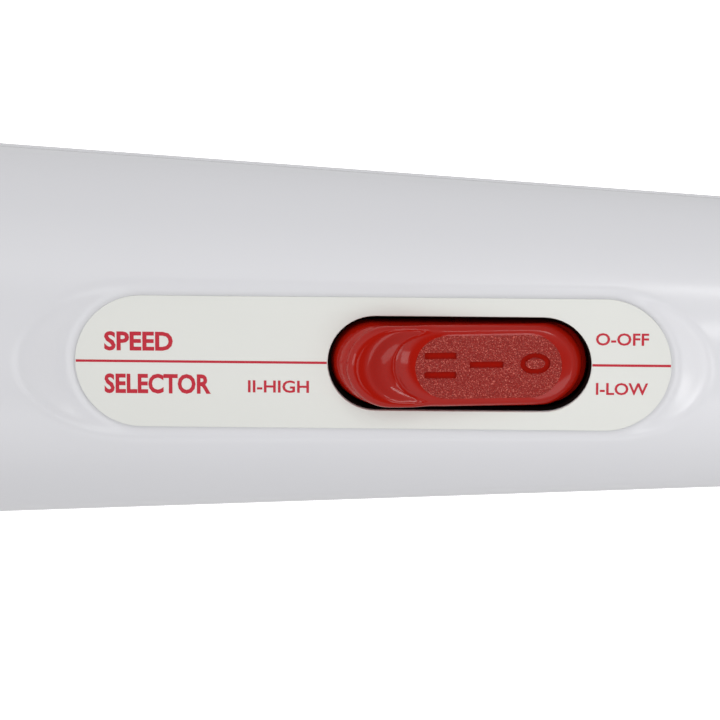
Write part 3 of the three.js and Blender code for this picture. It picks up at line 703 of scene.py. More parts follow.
def sink_dish(points):
    """Lowers wand points to the dish, along the deck's upright direction."""
    turn, shift = WAND_TO_DECK[:3, :3], WAND_TO_DECK[:3, 3]
    on_deck = points @ turn.T + shift
    x, y, z = on_deck.T
    on_deck[:, 2] = np.where(z > FIELD_LOW, soft_min(z, dish_height(x, y), RIM_ROUND), z)
    return (on_deck - shift) @ np.linalg.inv(turn).T


print("height of the dish 6 mm outside its floor:", round(float(dish_height(LABEL_CENTRE, 16.75)), 2))


# %% [markdown]
# ## Front shell
# The front shell is half of the hollow cone. Its skin is fine only around the dish. A turned core hollows it,
# and ribs and screw bosses stay standing because they are first cut out of that core.

# %% Core and its standing features
OPEN_HALF, OPEN_WIDE = 19.5, 7.1
LIP, RELIEF, DECK_THICK = 1, 0.7, 2.4
BREAK = 0.15  # how far the opening's edge is broken
SCREWS = [(x, side * y) for x, y in ((19, 20.6), (103, 16.6), (203, 9.8)) for side in (1, -1)]
RIBS = [(3.6, 5.8, 15.5), (9.2, 11, 15.5), (33.7, 36.4, 11.4), (93.6, 96.3, 11.4)]
HUB_HOLE, GLAND_HOLE = 15.5, 6.2
FRONT_WALL = 3.2
BOSS_R, BOSS_Z, PILOT_R = 3.3, -5.7, 1.5
FAR = 40  # well outside the casing, for a tool that cuts right through


def post(name, x, y, radius, z0, z1, sides=28, place=WAND):
    """A round post that stands along z."""
    ring = np.stack([x + radius * np.cos(around(sides)), y + radius * np.sin(around(sides))], 1)
    return prism(name, [np.column_stack([ring, np.full(sides, z)]) for z in (z0, z1)], place=place)


def block(name, x0, x1, y0, y1, z0, z1, place=WAND):
    ring = [(x0, y0), (x1, y0), (x1, y1), (x0, y1)]
    return prism(name, [[(x, y, z) for x, y in ring] for z in (z0, z1)], place=place)


def handle_core(name):
    """The room inside the casing, with the ribs already cut out of it."""
    tail_x = HANDLE_LENGTH - TAIL_ROUND
    outline = [(-1, 0), (-1, HUB_HOLE), (WALL, HUB_HOLE), (WALL, handle_radius(WALL) - FRONT_WALL)]
    outline += [(x, handle_radius(x) - WALL) for x in (5, 8, 10.5, 13, 16, 19, 23, JOIN_X)]
    outline += [(tail_x, handle_radius(tail_x) - WALL)]
    outline += [(HANDLE_LENGTH - WALL, handle_radius(tail_x) - TAIL_ROUND + 1)]
    outline += [(HANDLE_LENGTH - WALL, GLAND_HOLE), (HANDLE_LENGTH + 1, GLAND_HOLE), (HANDLE_LENGTH + 1, 0)]
    core = turned_solid(name, outline)
    return carve(core, [turned_solid("rib", [(a, low), (a, FAR), (b, FAR), (b, low)]) for a, b, low in RIBS])


print("screws:", len(SCREWS), "ribs:", len(RIBS))


# %% [markdown]
# The rows run along the handle. Their stations are close together only where the dish's two ends bend, and
# the opening for the rocker is cut last, with a lip that is thinner than the wall.

# %% Front shell
dish_head, dish_tail = 57, 168
middle = np.concatenate([
    np.arange(JOIN_X, dish_head, 2.2),
    np.arange(dish_head, dish_head + 20, 0.55),
    np.arange(dish_head + 20, dish_tail - 22, 1.6),
    np.arange(dish_tail - 22, dish_tail, 0.55),
    np.arange(dish_tail, 214, 2.4),
])
degrees = np.concatenate([np.arange(4, 54, 2.5), np.arange(54, 126, 0.9), np.arange(126, 177, 2.5)])
rows = half_rows(handle_stations(middle), np.radians(degrees))
points, faces = closed_half(rows)
front_shell = mesh_piece("front_shell_moulded", sink_dish(points), faces, WAND, finishes["casing_white"])

core = handle_core("front_core")
bed = prism("bed", [stadium(LABEL_HALF + 9, 15, z, LABEL_CENTRE) for z in (-DECK_THICK, 30)])
carve(core, [bed] + [post("boss", x, y, BOSS_R, BOSS_Z, FAR) for x, y in SCREWS])
carve(front_shell, [core])
carve(front_shell, [post("boss_end", x, y, BOSS_R, BOSS_Z, 1) for x, y in SCREWS], "UNION")
carve(front_shell, [post("pilot", x, y, PILOT_R, -7, 8, 16) for x, y in SCREWS])
room = [(RELIEF, -9), (RELIEF, -LIP), (0, -LIP), (0, -BREAK), (BREAK, 0.02), (BREAK, 2)]
carve(front_shell, [prism("room", [stadium(OPEN_HALF + wide, OPEN_WIDE + wide, z) for wide, z in room])])
stands_for(front_shell, "front_shell")

# %% [markdown]
# ## Control label
# A satin printed label with two round ends and a hole for the rocker. It is a thin slab with its top edge
# just broken, and the hole is cut through it.

# %% Control label
LABEL_EDGE = 0.07
label_rings = [(0, LABEL_BOTTOM), (0, LABEL_TOP - LABEL_EDGE)]
label_rings += [(0.3 * LABEL_EDGE, LABEL_TOP - 0.3 * LABEL_EDGE), (LABEL_EDGE, LABEL_TOP)]
rings = [stadium(LABEL_HALF - inset, LABEL_WIDE - inset, z, LABEL_CENTRE, arc=40) for inset, z in label_rings]
label = prism("control_label_printed", rings, finishes["label_satin"])
hole = [(0, LABEL_BOTTOM - 1), (0, LABEL_TOP - LABEL_EDGE)]
hole += [(LABEL_EDGE, LABEL_TOP), (LABEL_EDGE, LABEL_TOP + 1)]
carve(label, [prism("hole", [stadium(OPEN_HALF + wide, OPEN_WIDE + wide, z) for wide, z in hole])])
stands_for(label, "control_label")

# %% [markdown]
# ## Print on the label
# Screen print is a thin film of ink, so the lines and the generic words are thin solids that lie on the
# label. Blender's own typeface is made into a mesh, squeezed to the narrow letters of a switch legend and
# fitted to its width and height.

# %% Print
INK = 0.02  # thickness of the film
WORD_BOLD, LEGEND_BOLD = 0.032, 0.018  # how far the typeface's strokes are fattened


def legend(text, x0, x1, y0, y1, weight):
    """A word whose letters fill the given rectangle of the deck."""
    curve = bpy.data.curves.new(text, "FONT")
    curve.body, curve.extrude, curve.offset, curve.resolution_u = text, 0.001, weight, 3
    drawn = bpy.data.objects.new(text, curve)
    scene.collection.objects.link(drawn)
    bpy.context.view_layer.update()
    mesh = bpy.data.meshes.new_from_object(drawn.evaluated_get(bpy.context.evaluated_depsgraph_get()))
    flat = np.array([v.co for v in mesh.vertices])
    low, high = flat.min(0), flat.max(0)
    share = (flat - low) / (high - low)
    x, y = x0 + share[:, 0] * (x1 - x0), y0 + share[:, 1] * (y1 - y0)
    bpy.data.objects.remove(drawn)
    return np.column_stack([x, y, LABEL_TOP + share[:, 2] * INK]), [tuple(p.vertices) for p in mesh.polygons]


def stripe(x0, x1, y0, y1):
    ring = [(x0, y0), (x1, y0), (x1, y1), (x0, y1)]
    return skin([[(x, y, z) for x, y in ring] for z in (LABEL_TOP, LABEL_TOP + INK)])


LABEL_HEAD, LABEL_TAIL = LABEL_CENTRE - LABEL_HALF, LABEL_CENTRE + LABEL_HALF
LINE = 0.18
printed = [
    stripe(LABEL_HEAD + 0.1, -OPEN_HALF - 0.1, -LINE, LINE),
    stripe(OPEN_HALF + 0.1, LABEL_TAIL - 0.1, -LINE, LINE),
    legend("SPEED", -52.6, -42.4, 1.56, 4.48, WORD_BOLD),
    legend("SELECTOR", -52.6, -36.8, -4.88, -1.88, WORD_BOLD),
    legend("II-HIGH", -31.28, -22.24, -4.58, -2.71, LEGEND_BOLD),
    legend("O-OFF", 20.07, 27.88, 2.97, 4.84, LEGEND_BOLD),
    legend("I-LOW", 20.16, 27.84, -4.45, -2.62, LEGEND_BOLD),
]
points, faces = [], []
for ink_points, ink_faces in printed:
    faces += [tuple(len(points) + k for k in face) for face in ink_faces]
    points += [tuple(p) for p in ink_points]
label_print = mesh_piece("label_print", points, faces, DECK, printed_red)
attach(label_print, "handle")
print("print:", len(printed), "pieces of ink")

# %% [markdown]
# ## Rocker button
# The rocker is one red moulding: a rounded rim and a thumb scoop at its head end, and a raised pad with a
# fine grain and three sunk marks. Its skin is a family of rings that pass from its outline to the pad's
# outline, so the pad's edge stays crisp. The height of each point follows from how far it lies from the two
# outlines. The side walls follow a drum about the pivot, so that the ends keep their gap while it tilts.

# %% Shape of the rocker's top
DRUM = math.hypot(18.5, PIVOT_Z)
ROCKER_WIDE, ROCKER_WALL = 6.1, 1.5
REST_TILT = math.radians(7)
ROCKER_SHARP = math.radians(30)
EDGE_Z = 1.4
PAD_HALF, PAD_WIDE, PAD_CENTRE, PAD_Z = 10.85, 4.7, 3.05, 2.9
SKIRT_Z = -4.5
SCOOP_X, SCOOP_LONG, SCOOP_WIDE = -8.6, 5.8, 5.2  # centre and reach of the scoop's rounded end

# Heights of the scoop's section, from its floor over the crest of the rim, at shares of its reach. Their
# corners are smoothed by a moving average.
SCOOP = [(0, 1.0), (0.25, 1.04), (0.5, 1.22), (0.7, 1.52), (0.85, 1.92), (0.95, 2.28), (1.0, 2.46)]
SCOOP += [(1.06, 2.6), (1.16, 2.7), (1.3, 2.74), (1.5, 2.66), (1.7, 2.5), (2.5, 2.2)]
SCOOP_AT = np.linspace(0, 2.5, 501)
average = np.ones(21) / 21
mirrored = np.interp(np.abs(np.linspace(-0.1, 2.6, 541)), *np.array(SCOOP).T)
SCOOP_Z = np.convolve(np.convolve(mirrored, average, "valid"), average, "valid")


def drum_half(z):
    """Half the rocker's length at a height, on the drum about its pivot."""
    return math.sqrt(DRUM**2 - (z - PIVOT_Z) ** 2)


TOP_HALF = drum_half(EDGE_Z)
TAIL_SHARE = 0.962
print("half length of the rocker at its lip:", round(TOP_HALF, 2))


def shoulder(x, y):
    """The slope that falls away around the pad: steep at its sides and head end, flat towards the tail."""
    away = np.maximum(outside_stadium(x, y, PAD_HALF, PAD_WIDE, PAD_CENTRE), 0)
    past = np.maximum(x - (PAD_CENTRE + PAD_HALF - PAD_WIDE), 0)
    along_share = past**2 / np.maximum(past**2 + y**2, 1e-6)
    before = np.maximum(PAD_CENTRE - PAD_HALF + PAD_WIDE - x, 0)
    head_share = before**2 / np.maximum(before**2 + y**2, 1e-6)
    away = away * (1 - 0.64 * along_share - 0.10 * head_share)
    return PAD_Z - 0.15 * away**2 - 0.28 * away


def shorter_tail(x, share):
    """Draws the tail half in, so that the pressed end clears the opening."""
    return np.where(x > 0, x * share, x)


def rocker_top(x, y):
    inside = np.maximum(-outside_stadium(shorter_tail(x, 1 / TAIL_SHARE), y, TOP_HALF, ROCKER_WIDE), 0)
    # Across, the scoop is a wide trough between narrow rims. Along, it falls from the rim's tip to its floor.
    from_tip = np.hypot(np.maximum(SCOOP_X - x, 0) / SCOOP_LONG, y / SCOOP_WIDE)
    rim = np.interp(from_tip, SCOOP_AT, SCOOP_Z)
    slope = shoulder(x, y)
    both = -soft_min(-slope, -rim, 0.35)
    height = both + (slope - both) * smooth_step(x, -8.0, -4.4)
    round_edge = 1.6 - 0.75 * smooth_step(x, -15, -10) + 1.1 * smooth_step(x, 10, 16)
    into = np.clip(round_edge - inside, 0, round_edge)
    height = height - (round_edge - np.sqrt(np.maximum(round_edge**2 - into**2, 0)))
    return np.minimum(height, PAD_Z)


# %% [markdown]
# The rings are close together at the lip, where the edge rounds over, and again at the pad. Below the lip the
# walls go down to the skirt, and a shallow room is left under the top.

# %% The rocker's skin
outer = stadium(TOP_HALF, ROCKER_WIDE, arc=44, flat=44)
edge = outer.copy()
edge[:, 0] = shorter_tail(edge[:, 0], TAIL_SHARE)
inner = stadium(PAD_HALF, PAD_WIDE, centre=PAD_CENTRE, arc=44, flat=44)
lip_shares = [0, 0.004, 0.012, 0.024, 0.04, 0.058, 0.078]
shares = np.concatenate([lip_shares, np.linspace(0.1, 0.985, 44), [0.993, 1]])
top_rings = []
for share in shares:
    ring = edge + (inner - edge) * share
    ring[:, 2] = rocker_top(ring[:, 0], ring[:, 1])
    top_rings.append(ring)
top_rings[-1][:, 2] = PAD_Z
lip_z = top_rings[0][:, 2]
straight = np.abs(outer[:, 0]) <= TOP_HALF - ROCKER_WIDE - 0.01
wall_rings = []
for share in (1, 0.8, 0.6, 0.4, 0.2, 0.08):
    z = lip_z + (SKIRT_Z - lip_z) * share
    half = np.sqrt(DRUM**2 - (z - PIVOT_Z) ** 2)
    ring = outer.copy()
    ring[:, 0] += np.sign(ring[:, 0]) * (half - TOP_HALF) * ~straight
    ring[straight, 0] *= ((half - ROCKER_WIDE) / (TOP_HALF - ROCKER_WIDE))[straight]
    ring[:, 0], ring[:, 2] = shorter_tail(ring[:, 0], TAIL_SHARE), z
    wall_rings.append(ring)
room_half, room_wide = 16.6, ROCKER_WIDE - ROCKER_WALL
room = [(0, -0.6), (0, -4.3), (0.2, SKIRT_Z)]
floor_rings = [stadium(room_half + grow, room_wide + grow, z, arc=44, flat=44) for grow, z in room]
points, faces = skin(floor_rings + wall_rings + top_rings)
to_pivot, tilt = Matrix.Translation((0, 0, PIVOT_Z)), Matrix.Rotation(REST_TILT, 4, "Y")
ROCKER = DECK @ (to_pivot @ tilt @ to_pivot.inverted())
reds = [finishes["rocker_red"], grain_and_glint_red]
rocker = mesh_piece("rocker_moulded", points, faces, ROCKER, reds, ROCKER_SHARP)
rocker.data.polygons[len(faces) - 1].material_index = 1
print("rocker before its marks:", len(rocker.data.polygons), "faces")

# %% [markdown]
# The three marks are sunk well under half a millimetre into the pad, so they catch the light as real moulded
# marks do. Trunnions and ears for the pivot and a socket for the detent plunger are joined underneath.

# %% Marks and pivot
MARK_DEEP, MARK_TOP = 0.38, 5


def bar(x0, x1, y, stroke=0.5, corner=0.22):
    """A sunk bar with slightly rounded corners."""
    ring = []
    left, right, low, high = x0 + corner, x1 - corner, corner - stroke, stroke - corner
    for turn, (cx, cy) in enumerate([(right, high), (left, high), (left, low), (right, low)]):
        for a in np.linspace(0, math.pi / 2, 5) + turn * math.pi / 2:
            ring.append((cx + corner * math.cos(a), y + cy + corner * math.sin(a)))
    rings = [[(px, py, z) for px, py in ring] for z in (PAD_Z - MARK_DEEP, MARK_TOP)]
    return prism("bar", rings, place=ROCKER)


def ring_mark(x, a, b, stroke, y=0.37):
    """A sunk oval ring as one closed band."""
    angles, bottom, half = around(48), PAD_Z - MARK_DEEP, stroke / 2
    band = [(half, MARK_TOP), (half, bottom), (-half, bottom), (-half, MARK_TOP), (half, MARK_TOP)]
    rows = [
        np.column_stack([x + (a + wide) * np.cos(angles), y + (b + wide) * np.sin(angles), np.full(48, z)])
        for wide, z in band
    ]
    points, faces = skin(rows, caps=False)
    return mesh_piece("ring", points, faces, ROCKER)


high_marks = [bar(-6.45, -1.7, 1.73), bar(-6.45, -1.7, -1.15)]
carve(rocker, high_marks + [bar(0.25, 5.25, 0.3), ring_mark(9.95, 1.85, 1.2, 0.78)], sharp=ROCKER_SHARP)


def cross_pin(name, radius, y0, y1, place, sides=24):
    """A round pin along y on the rocker's pivot."""
    x, z = radius * np.cos(around(sides)), PIVOT_Z + radius * np.sin(around(sides))
    return prism(name, [np.column_stack([x, np.full(sides, y), z]) for y in (y0, y1)], place=place)


under = []
for side in (1, -1):
    near, far = sorted((side * (ROCKER_WIDE - ROCKER_WALL), side * (ROCKER_WIDE - 0.02)))
    under.append(block("ear", -2.6, 2.6, near, far, PIVOT_Z - 2.2, -3, ROCKER))
    ends = sorted((side * (ROCKER_WIDE - 0.3), side * 8.2))
    under.append(cross_pin("trunnion", 1.3, *ends, ROCKER))
carve(rocker, under + [post("socket", 0, 0, 2.6, -6, 0.2, 24, ROCKER)], "UNION", ROCKER_SHARP)
carve(rocker, [post("bore", 0, 0, 1.7, -7, 0, 24, ROCKER)], sharp=ROCKER_SHARP)


def edges_of(material):
    faces = [face for face in rocker.data.polygons if face.material_index == material]
    return {key for face in faces for key in face.edge_keys}


# The rim of the grained pad stays a crisp line.
pad_rim = edges_of(0) & edges_of(1)
for line in rocker.data.edges:
    line.use_edge_sharp = line.use_edge_sharp or line.key in pad_rim
stands_for(rocker, "rocker_button", "rocker")

# %% [markdown]
# ## Switch well
# The rocker works in a black moulded well. Its mouth is a thin collar that stands in the shell's opening and
# covers the shell's white wall there, and below the shell it widens into the switch's body. The black is the
# switch's own colour, darkened almost to no light and given a weak reflection as painted shade, so the gap
# around the rocker reads as one dark line.

# %% Switch housing
HOUSE_HALF, HOUSE_WIDE, HOUSE_WALL, HOUSE_BOTTOM = 22.1, 8.8, 1.6, -17
well = [
    (HOUSE_HALF - 0.4, HOUSE_WIDE - 0.4, HOUSE_BOTTOM),
    (HOUSE_HALF, HOUSE_WIDE, HOUSE_BOTTOM + 0.4),
    (HOUSE_HALF, HOUSE_WIDE, -2.8),
    # The collar: these stations line the shell's opening with near-black painted shade in place of the white wall.
    (20.05, 7.65, -2.7),
    (20.05, 7.65, -1.3),
    (19.38, 6.98, -1.2),
    (19.42, 7.02, -0.25),
    (19.36, 6.96, -0.2),
    (19.08, 6.68, -1.2),
    (19.75, 7.35, -2.6),
    (HOUSE_HALF - HOUSE_WALL, HOUSE_WIDE - HOUSE_WALL, -4.0),
    (HOUSE_HALF - HOUSE_WALL, HOUSE_WIDE - HOUSE_WALL, HOUSE_BOTTOM + HOUSE_WALL),
]
housing = prism("switch_well", [stadium(a, b, z, arc=32) for a, b, z in well], finishes["switch_black"])
TERMINALS = (-11, 0, 11)
slot_z = HOUSE_BOTTOM - 1, HOUSE_BOTTOM + 3
slots = [block("slot", x - 0.8, x + 0.8, -3.1, 3.1, *slot_z, DECK) for x in TERMINALS]
carve(housing, slots + [cross_pin("pivot_hole", 1.6, -12, 12, DECK)])
stands_for(housing, "switch_housing")

# %% [markdown]
# ## Rear shell
# The other half of the casing. Its skin is the same outline turned to the back, and points that would reach
# below the floor are lifted to it, which gives the narrow flat that the wand rests on. Then it gets its core,
# screw wells, cooling slots and the shallow pocket of the rating label.

# %% Rear shell
WAND_NP = np.array(WAND)
REST_SOFT = 0.3  # how far the flat's edges are rounded
BACK_Z = -5  # only points behind this are lifted
SCREW_SEAT = -9
CLAMP_X, CLAMP_Y = 186, 8.8
degrees = np.concatenate([np.arange(4, 70, 2.5), np.arange(70, 110, 1.2), np.arange(110, 177, 2.5)])
middle = np.arange(JOIN_X, 214, 2.4)
rows = [row * (1, 1, -1) for row in half_rows(handle_stations(middle), np.radians(degrees))]
points, faces = closed_half(rows)
row_z = (points @ WAND_NP[2, :3] + WAND_NP[2, 3]) / MM
lifted = -soft_min(-row_z, np.zeros(len(row_z)), REST_SOFT) - REST_SOFT / 4 * (row_z < -REST_SOFT)
lifted = np.maximum(lifted, 0)
up = WAND_NP[2, :3] / np.linalg.norm(WAND_NP[2, :3])
points = points + np.where(points[:, 2] < BACK_Z, lifted - row_z, 0)[:, None] * up
rear_shell = mesh_piece("rear_shell_moulded", points, faces, WAND, finishes["casing_white"])

core = handle_core("rear_core")
posts = [post("post", x, y, 5.2, -FAR, SCREW_SEAT + 3) for x, y in SCREWS]
posts += [post("clamp_post", CLAMP_X, side * CLAMP_Y, 3, -FAR, 2.4) for side in (1, -1)]
posts += [block("board_rib", x, x + 1.8, -12, 12, -FAR, -4.3) for x in (115, 157)]
carve(core, posts)
carve(rear_shell, [core])
carve(rear_shell, [post("clamp_top", CLAMP_X, side * CLAMP_Y, 3, -4, 2.4) for side in (1, -1)], "UNION")
cuts = [post("well", x, y, 3.5, -FAR - 1, SCREW_SEAT) for x, y in SCREWS]
cuts += [post("clear", x, y, 1.6, SCREW_SEAT - 1, 4, 16) for x, y in SCREWS]
cuts += [post("pilot", CLAMP_X, side * CLAMP_Y, PILOT_R, -6.6, 3.4, 16) for side in (1, -1)]
carve(rear_shell, cuts)

# %% [markdown]
# Two rows of slots let the motor breathe. The rating label lies in a pocket on the narrow flat, so the pocket
# is cut in a frame that is level with the floor.

# %% Slots and pocket of the rear shell
VENT_PITCH, VENT_HALF = 4.4, 0.9
vents = []
for centre, reach in ((47, 13), (180, 9.5)):
    for i in range(4):
        at = centre + (i - 1.5) * VENT_PITCH
        ring = stadium(reach, VENT_HALF, arc=10, flat=4)[:, [1, 0, 2]] + (at, 0, 0)
        bottom = -handle_radius(at) * 0.6
        vents.append(prism("vent", [ring + (0, 0, z) for z in (-FAR, bottom)], place=WAND))
carve(rear_shell, vents)
FLOOR_FRAME = Matrix.Translation((WAND.translation.x, 0, 0)) @ Matrix.Scale(MM, 4)
plate_low, plate_high = (np.array(corner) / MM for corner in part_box("rating_label"))
plate_x = WAND.translation.x / MM
plate_gap = 0.3
pocket = (plate_low[0] - plate_x - plate_gap, plate_high[0] - plate_x + plate_gap)
carve(rear_shell, [block("pocket", *pocket, -4, 4, -5, 0.6, FLOOR_FRAME)])
stands_for(rear_shell, "rear_shell")

# %% [markdown]
# ## Screws
# Each of the six casing screws gets a domed head with a cross recess and a threaded shank. A thread that
# hardly shows can be a stack of small collars, which is far lighter than a true helix.

# %% Casing screws
SCREW_TOP, PAN_HIGH, PAN_R, SHANK_R, SHANK_LONG = SCREW_SEAT - 0.3, 2.0, 2.7, 1.2, 14
THREADS, THREAD_DEEP = 12, 0.25


def screw(name, x, y, sides=28):
    """A pan-head screw that points along z, with a cross recess in its head."""
    low, tip = SCREW_TOP - PAN_HIGH, SCREW_TOP + SHANK_LONG
    profile = [(0.9, low), (1.7, low + 0.12), (2.3, low + 0.42), (PAN_R, low + 1.0)]
    profile += [(PAN_R, SCREW_TOP - 0.1), (PAN_R - 0.1, SCREW_TOP), (SHANK_R, SCREW_TOP)]
    for k in range(THREADS):
        z = SCREW_TOP + 1.2 + k
        profile += [(SHANK_R - THREAD_DEEP, z), (SHANK_R, z + 0.35), (SHANK_R - THREAD_DEEP, z + 0.7)]
    profile += [(0.75, tip - 0.6), (0.3, tip)]
    cos, sin = np.cos(around(sides)), np.sin(around(sides))
    rows = [np.column_stack([x + r * cos, y + r * sin, np.full(sides, z)]) for r, z in profile]
    made = prism(name, rows, finishes["plated_steel"], WAND)
    arms = ((1.5, 0.35), (0.35, 1.5))
    return carve(made, [block("cross", x - a, x + a, y - b, y + b, low - 1, low + 1.1) for a, b in arms])


for i, (x, y) in enumerate(SCREWS, 1):
    stands_for(screw(f"screw_{i}", x, y), f"casing_screw_{i}")

# %% [markdown]
# ## Rating label
# A thin blank foil with two round ends lies in the pocket on the back. Its place and size are those of the
# packed node.

# %% Rating label
middle_x, half = (plate_low[0] + plate_high[0]) / 2 - plate_x, (plate_high[0] - plate_low[0]) / 2
foil_z = plate_low[2], plate_high[2]
foil_rings = [stadium(half, plate_high[1], z, middle_x, arc=16, flat=4) for z in foil_z]
foil = prism("rating_foil", foil_rings, finishes["foil_silver"], FLOOR_FRAME)
stands_for(foil, "rating_label")

# %% [markdown]
# ## Neck
# A satin grey collar closes the handle. In front of it a soft ribbed sleeve hides the neck spring. The neck
# bends twice, nodding and turning, and the sleeve is drawn as two mouldings that meet in a groove at the
# neck's centre: the rear one runs from the handle to the neck's centre, the front one from there to the head.
# The neck bends twice, nodding and turning, and a soft piece can cross one joint only, so the sleeve is two
# mouldings that meet in a groove at the neck's centre.

# %% Collar
COLLAR_R = 18.6
collar = [(-5, 15.5), (-5, 17.1), (-3.9, COLLAR_R), (-1.2, COLLAR_R), (-0.3, 17.9), (-0.3, 15.5)]
collar = rounded(collar, (0.2, 0.5, 0.9, 0.6, 0.3, 0.2), closed=True)
groove = [(-2.9, COLLAR_R), (-2.75, 18.3), (-2.35, 18.3), (-2.2, COLLAR_R)]
front_points = 15  # points of the first three rounded corners
collar = collar[:front_points] + groove + collar[front_points:]
collar_ring = turned_solid("neck_collar_turned", collar, finishes["collar_grey"], 128)
stands_for(collar_ring, "neck_collar")

# %% [markdown]
# The ribs are half waves. A power below 1 fattens them, so that they meet in narrow grooves as moulded ribs
# do.

# %% Sleeve
SLEEVE_REAR, SLEEVE_FRONT = -5.3, -23.9
SLEEVE_OUT, SLEEVE_IN, RIB_HIGH, RIB_FAT = 15.55, 13.2, 1.15, 0.8
RIB_COUNT = 2


def sleeve_half(name, x0, x1):
    """A ribbed soft ring from x0 to x1, with fillets between its ribs and a small lip at each end."""
    share = np.linspace(0, 1, 34)
    wave = SLEEVE_OUT + RIB_HIGH * np.sin(math.pi * np.mod(share * RIB_COUNT, 1.0)) ** RIB_FAT
    wave[-1] = SLEEVE_OUT
    outside = [(x0 + s * (x1 - x0), r) for s, r in zip(share, wave)]
    inside = [(x1 - s * (x1 - x0), SLEEVE_IN) for s in np.linspace(0, 1, 12)]
    return turned_solid(name, outside + inside, finishes["soft_vinyl"], 96)


def bend_with_neck(rear, front, node):
    """Bakes the two halves of a piece into place and hides the packed node."""
    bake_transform(rear)
    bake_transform(front)
    for half_piece in (rear, front):
        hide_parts(node)
    print(node, "in two halves of", len(rear.data.polygons), "and", len(front.data.polygons), "faces")


sleeve_rear = sleeve_half("sleeve_rear", SLEEVE_REAR, NECK_X)
sleeve_front = sleeve_half("sleeve_front", NECK_X, SLEEVE_FRONT)
bend_with_neck(sleeve_rear, sleeve_front, "neck_sleeve")

# %% [markdown]
# ## Neck spring
# Inside the sleeve a steel spring carries the head. It is drawn in the same two halves as the sleeve: a round
# wire swept along a screw line, each half from the neck's centre to its own end.

# %% Neck spring
SPRING_R, WIRE_R = 10.9, 0.95
SPRING_FRONT, SPRING_REAR, SPRING_TURNS = -33.35, 2.75, 7


def coil_half(name, x0, x1, sides=10, steps_per_turn=36):
    """Part of the spring between two stations on the wand's axis."""
    pitch = (SPRING_REAR - SPRING_FRONT) / SPRING_TURNS
    way_round, ring = 2 * math.pi * SPRING_R, around(sides)[:, None]
    count = int(abs(x1 - x0) / pitch * steps_per_turn)
    rows = []
    for x in np.linspace(x0, x1, count):
        turn = 2 * math.pi * (x - SPRING_FRONT) / pitch
        out = np.array([0, math.cos(turn), math.sin(turn)])
        ahead = np.array([pitch, -way_round * math.sin(turn), way_round * math.cos(turn)])
        side = np.cross(ahead / np.linalg.norm(ahead), out)
        section = WIRE_R * (np.cos(ring) * out + np.sin(ring) * side)
        rows.append(np.array([x, 0, 0]) + out * SPRING_R + section)
    points, faces = skin(rows)
    return mesh_piece(name, points, faces, WAND, finishes["plated_steel"])


spring_rear = coil_half("neck_spring_rear", SPRING_REAR, NECK_X)
spring_front = coil_half("neck_spring_front", NECK_X, SPRING_FRONT)
bend_with_neck(spring_rear, spring_front, "neck_spring")

# %% [markdown]
# ## Head
# The head is a blunt dome: its outline is a superellipse, fuller than a ball. A soft vinyl cover with a foam
# backing is pulled over a hard case. Fine rings are moulded around its front, and its rim is rolled where it
# ends at the neck.

# %% Outline of the head
HEAD_X, HEAD_FRONT, HEAD_REAR, HEAD_R, HEAD_POWER = -56, 30, 29, 31, 2.4
COVER_WALL, NECK_R, CORE_INSET = 5, 17, 5.9


def head_radius(x, inset=0.0):
    reach = (HEAD_FRONT if x < HEAD_X else HEAD_REAR) - inset
    share = min(1, abs(x - HEAD_X) / reach)
    return (HEAD_R - inset) * (1 - share**HEAD_POWER) ** (1 / HEAD_POWER)


def head_station(radius, inset=0.0):
    """Where the outline comes down to a radius on the side nearer the handle."""
    share = (1 - (radius / (HEAD_R - inset)) ** HEAD_POWER) ** (1 / HEAD_POWER)
    return HEAD_X + share * (HEAD_REAR - inset)


def head_outline(start, end, inset, count):
    stations = start + (end - start) * (1 - np.cos(np.linspace(0, math.pi, count + 1))) / 2
    return [(x, head_radius(x, inset)) for x in stations]


def ringed(outline, places, deep=0.35, wide=0.55):
    """Presses fine grooves into an outline at the given x."""
    return [(x, r - sum(deep * math.exp(-(((x - at) / wide) ** 2)) for at in places)) for x, r in outline]


print("the head's outline comes down to the neck at x =", round(head_station(NECK_R), 2))

# %% [markdown]
# The cover is one turned skin: from the tip over the outside to the rolled rim, and back along the inside. It
# is stretched tight over the case, so it gets no folds.

# %% Head cover
GROOVES = (-38.5, -66.0, -69.5, -73.0)
tip = HEAD_X - HEAD_FRONT
back = head_station(NECK_R + 1.2)
inner_back = head_station(NECK_R, COVER_WALL)
lip = [(back + 0.3, NECK_R + 0.9), (back + 0.25, NECK_R + 0.35), (back - 0.6, NECK_R)]
lip += [(inner_back + 0.5, NECK_R)]
outside = ringed(head_outline(back, tip, 0, 150)[:-1], GROOVES)[::-1]
inside = head_outline(inner_back, tip + COVER_WALL, COVER_WALL, 36)[:-1]
cover_outline = [(tip, 0)] + outside + lip + inside + [(tip + COVER_WALL, 0)]
head_cover = turned_solid("head_cover_soft", cover_outline, finishes["soft_vinyl"], 128)
stands_for(head_cover, "head_cover", "head")

# %% [markdown]
# The cover's rim sits on a hard base with a short neck. Inside it has a bulkhead that holds the rear bearing
# of the eccentric shaft.

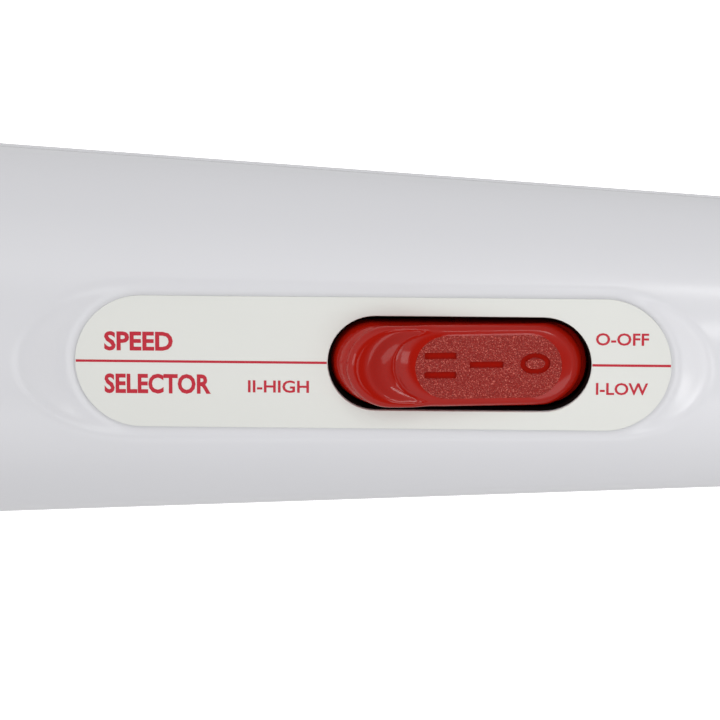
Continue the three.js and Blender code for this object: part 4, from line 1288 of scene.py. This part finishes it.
# %% Hard base of the head
base_out = NECK_R - 0.4
BULK_FRONT, BULK_REAR, BEARING_R, SKIN, NECK_FRONT, NECK_BORE = -39.6, -34.6, 6.3, 2.4, -24.2, 12.6
seam_x = HEAD_X + 0.3
base = head_outline(seam_x, head_station(base_out, CORE_INSET), CORE_INSET, 24)
base += [(-27.2, base_out), (-26.9, base_out - 0.1), (-26.4, base_out - 0.85), (-26.1, base_out - 1)]
base += [(NECK_FRONT - 0.3, base_out - 1), (NECK_FRONT, base_out - 1.3)]
base += [(NECK_FRONT, NECK_BORE + 0.2), (NECK_FRONT - 0.2, NECK_BORE), (BULK_REAR, NECK_BORE)]
base += [(BULK_REAR, BEARING_R), (BULK_FRONT, BEARING_R)]
base += head_outline(seam_x, BULK_FRONT, CORE_INSET + SKIN, 16)[::-1]
stands_for(turned_solid("head_base_turned", base, finishes["nylon"]), "head_base", "head")

# %% [markdown]
# ## Inlet gland
# A black rubber bush in the tail, with a rounded flange outside, a waist in the shell's hole and a second
# flange inside. The bore is open: the wand is drawn without a cord.

# %% Inlet gland
OUT_X, IN_X = HANDLE_LENGTH + 2.5, HANDLE_LENGTH - WALL
BORE_R, FLANGE_R, WAIST_R, GAP = 3.8, 8.0, 5.9, 0.3
gland = [(OUT_X, BORE_R), (OUT_X, FLANGE_R), (HANDLE_LENGTH + GAP, FLANGE_R), (HANDLE_LENGTH + GAP, WAIST_R)]
gland += [(IN_X - GAP, WAIST_R), (IN_X - GAP, FLANGE_R), (IN_X - 3, FLANGE_R), (IN_X - 3, BORE_R)]
gland = rounded(gland, (0.5, 1.2, 0.3, 0, 0, 0.4, 0.8, 0.3), closed=True)
gland_bush = turned_solid("inlet_gland_moulded", gland, finishes["black_rubber"], 72)
stands_for(gland_bush, "inlet_gland")

# %% [markdown]
# ## The pieces inside
# The rest of the wand's works keep the packed solids' shapes. The packed record names the slot that each node
# takes its finish from. Only the capacitor differs, because its grey can is in a black sleeve.

# %% Finishes of the packed nodes
node_slots = {part["node"]: part["material_slot"] for part in frame["record"]["subparts"]}
node_slots["capacitor"] = "switch_black"
for node, slot in node_slots.items():
    materials = frame["nodes"][node].data.materials
    if materials:
        materials[0] = finishes[slot]
print("nodes without a finish:", sorted(set(frame["nodes"]) - set(node_slots)))

# %% [markdown] ## Finish
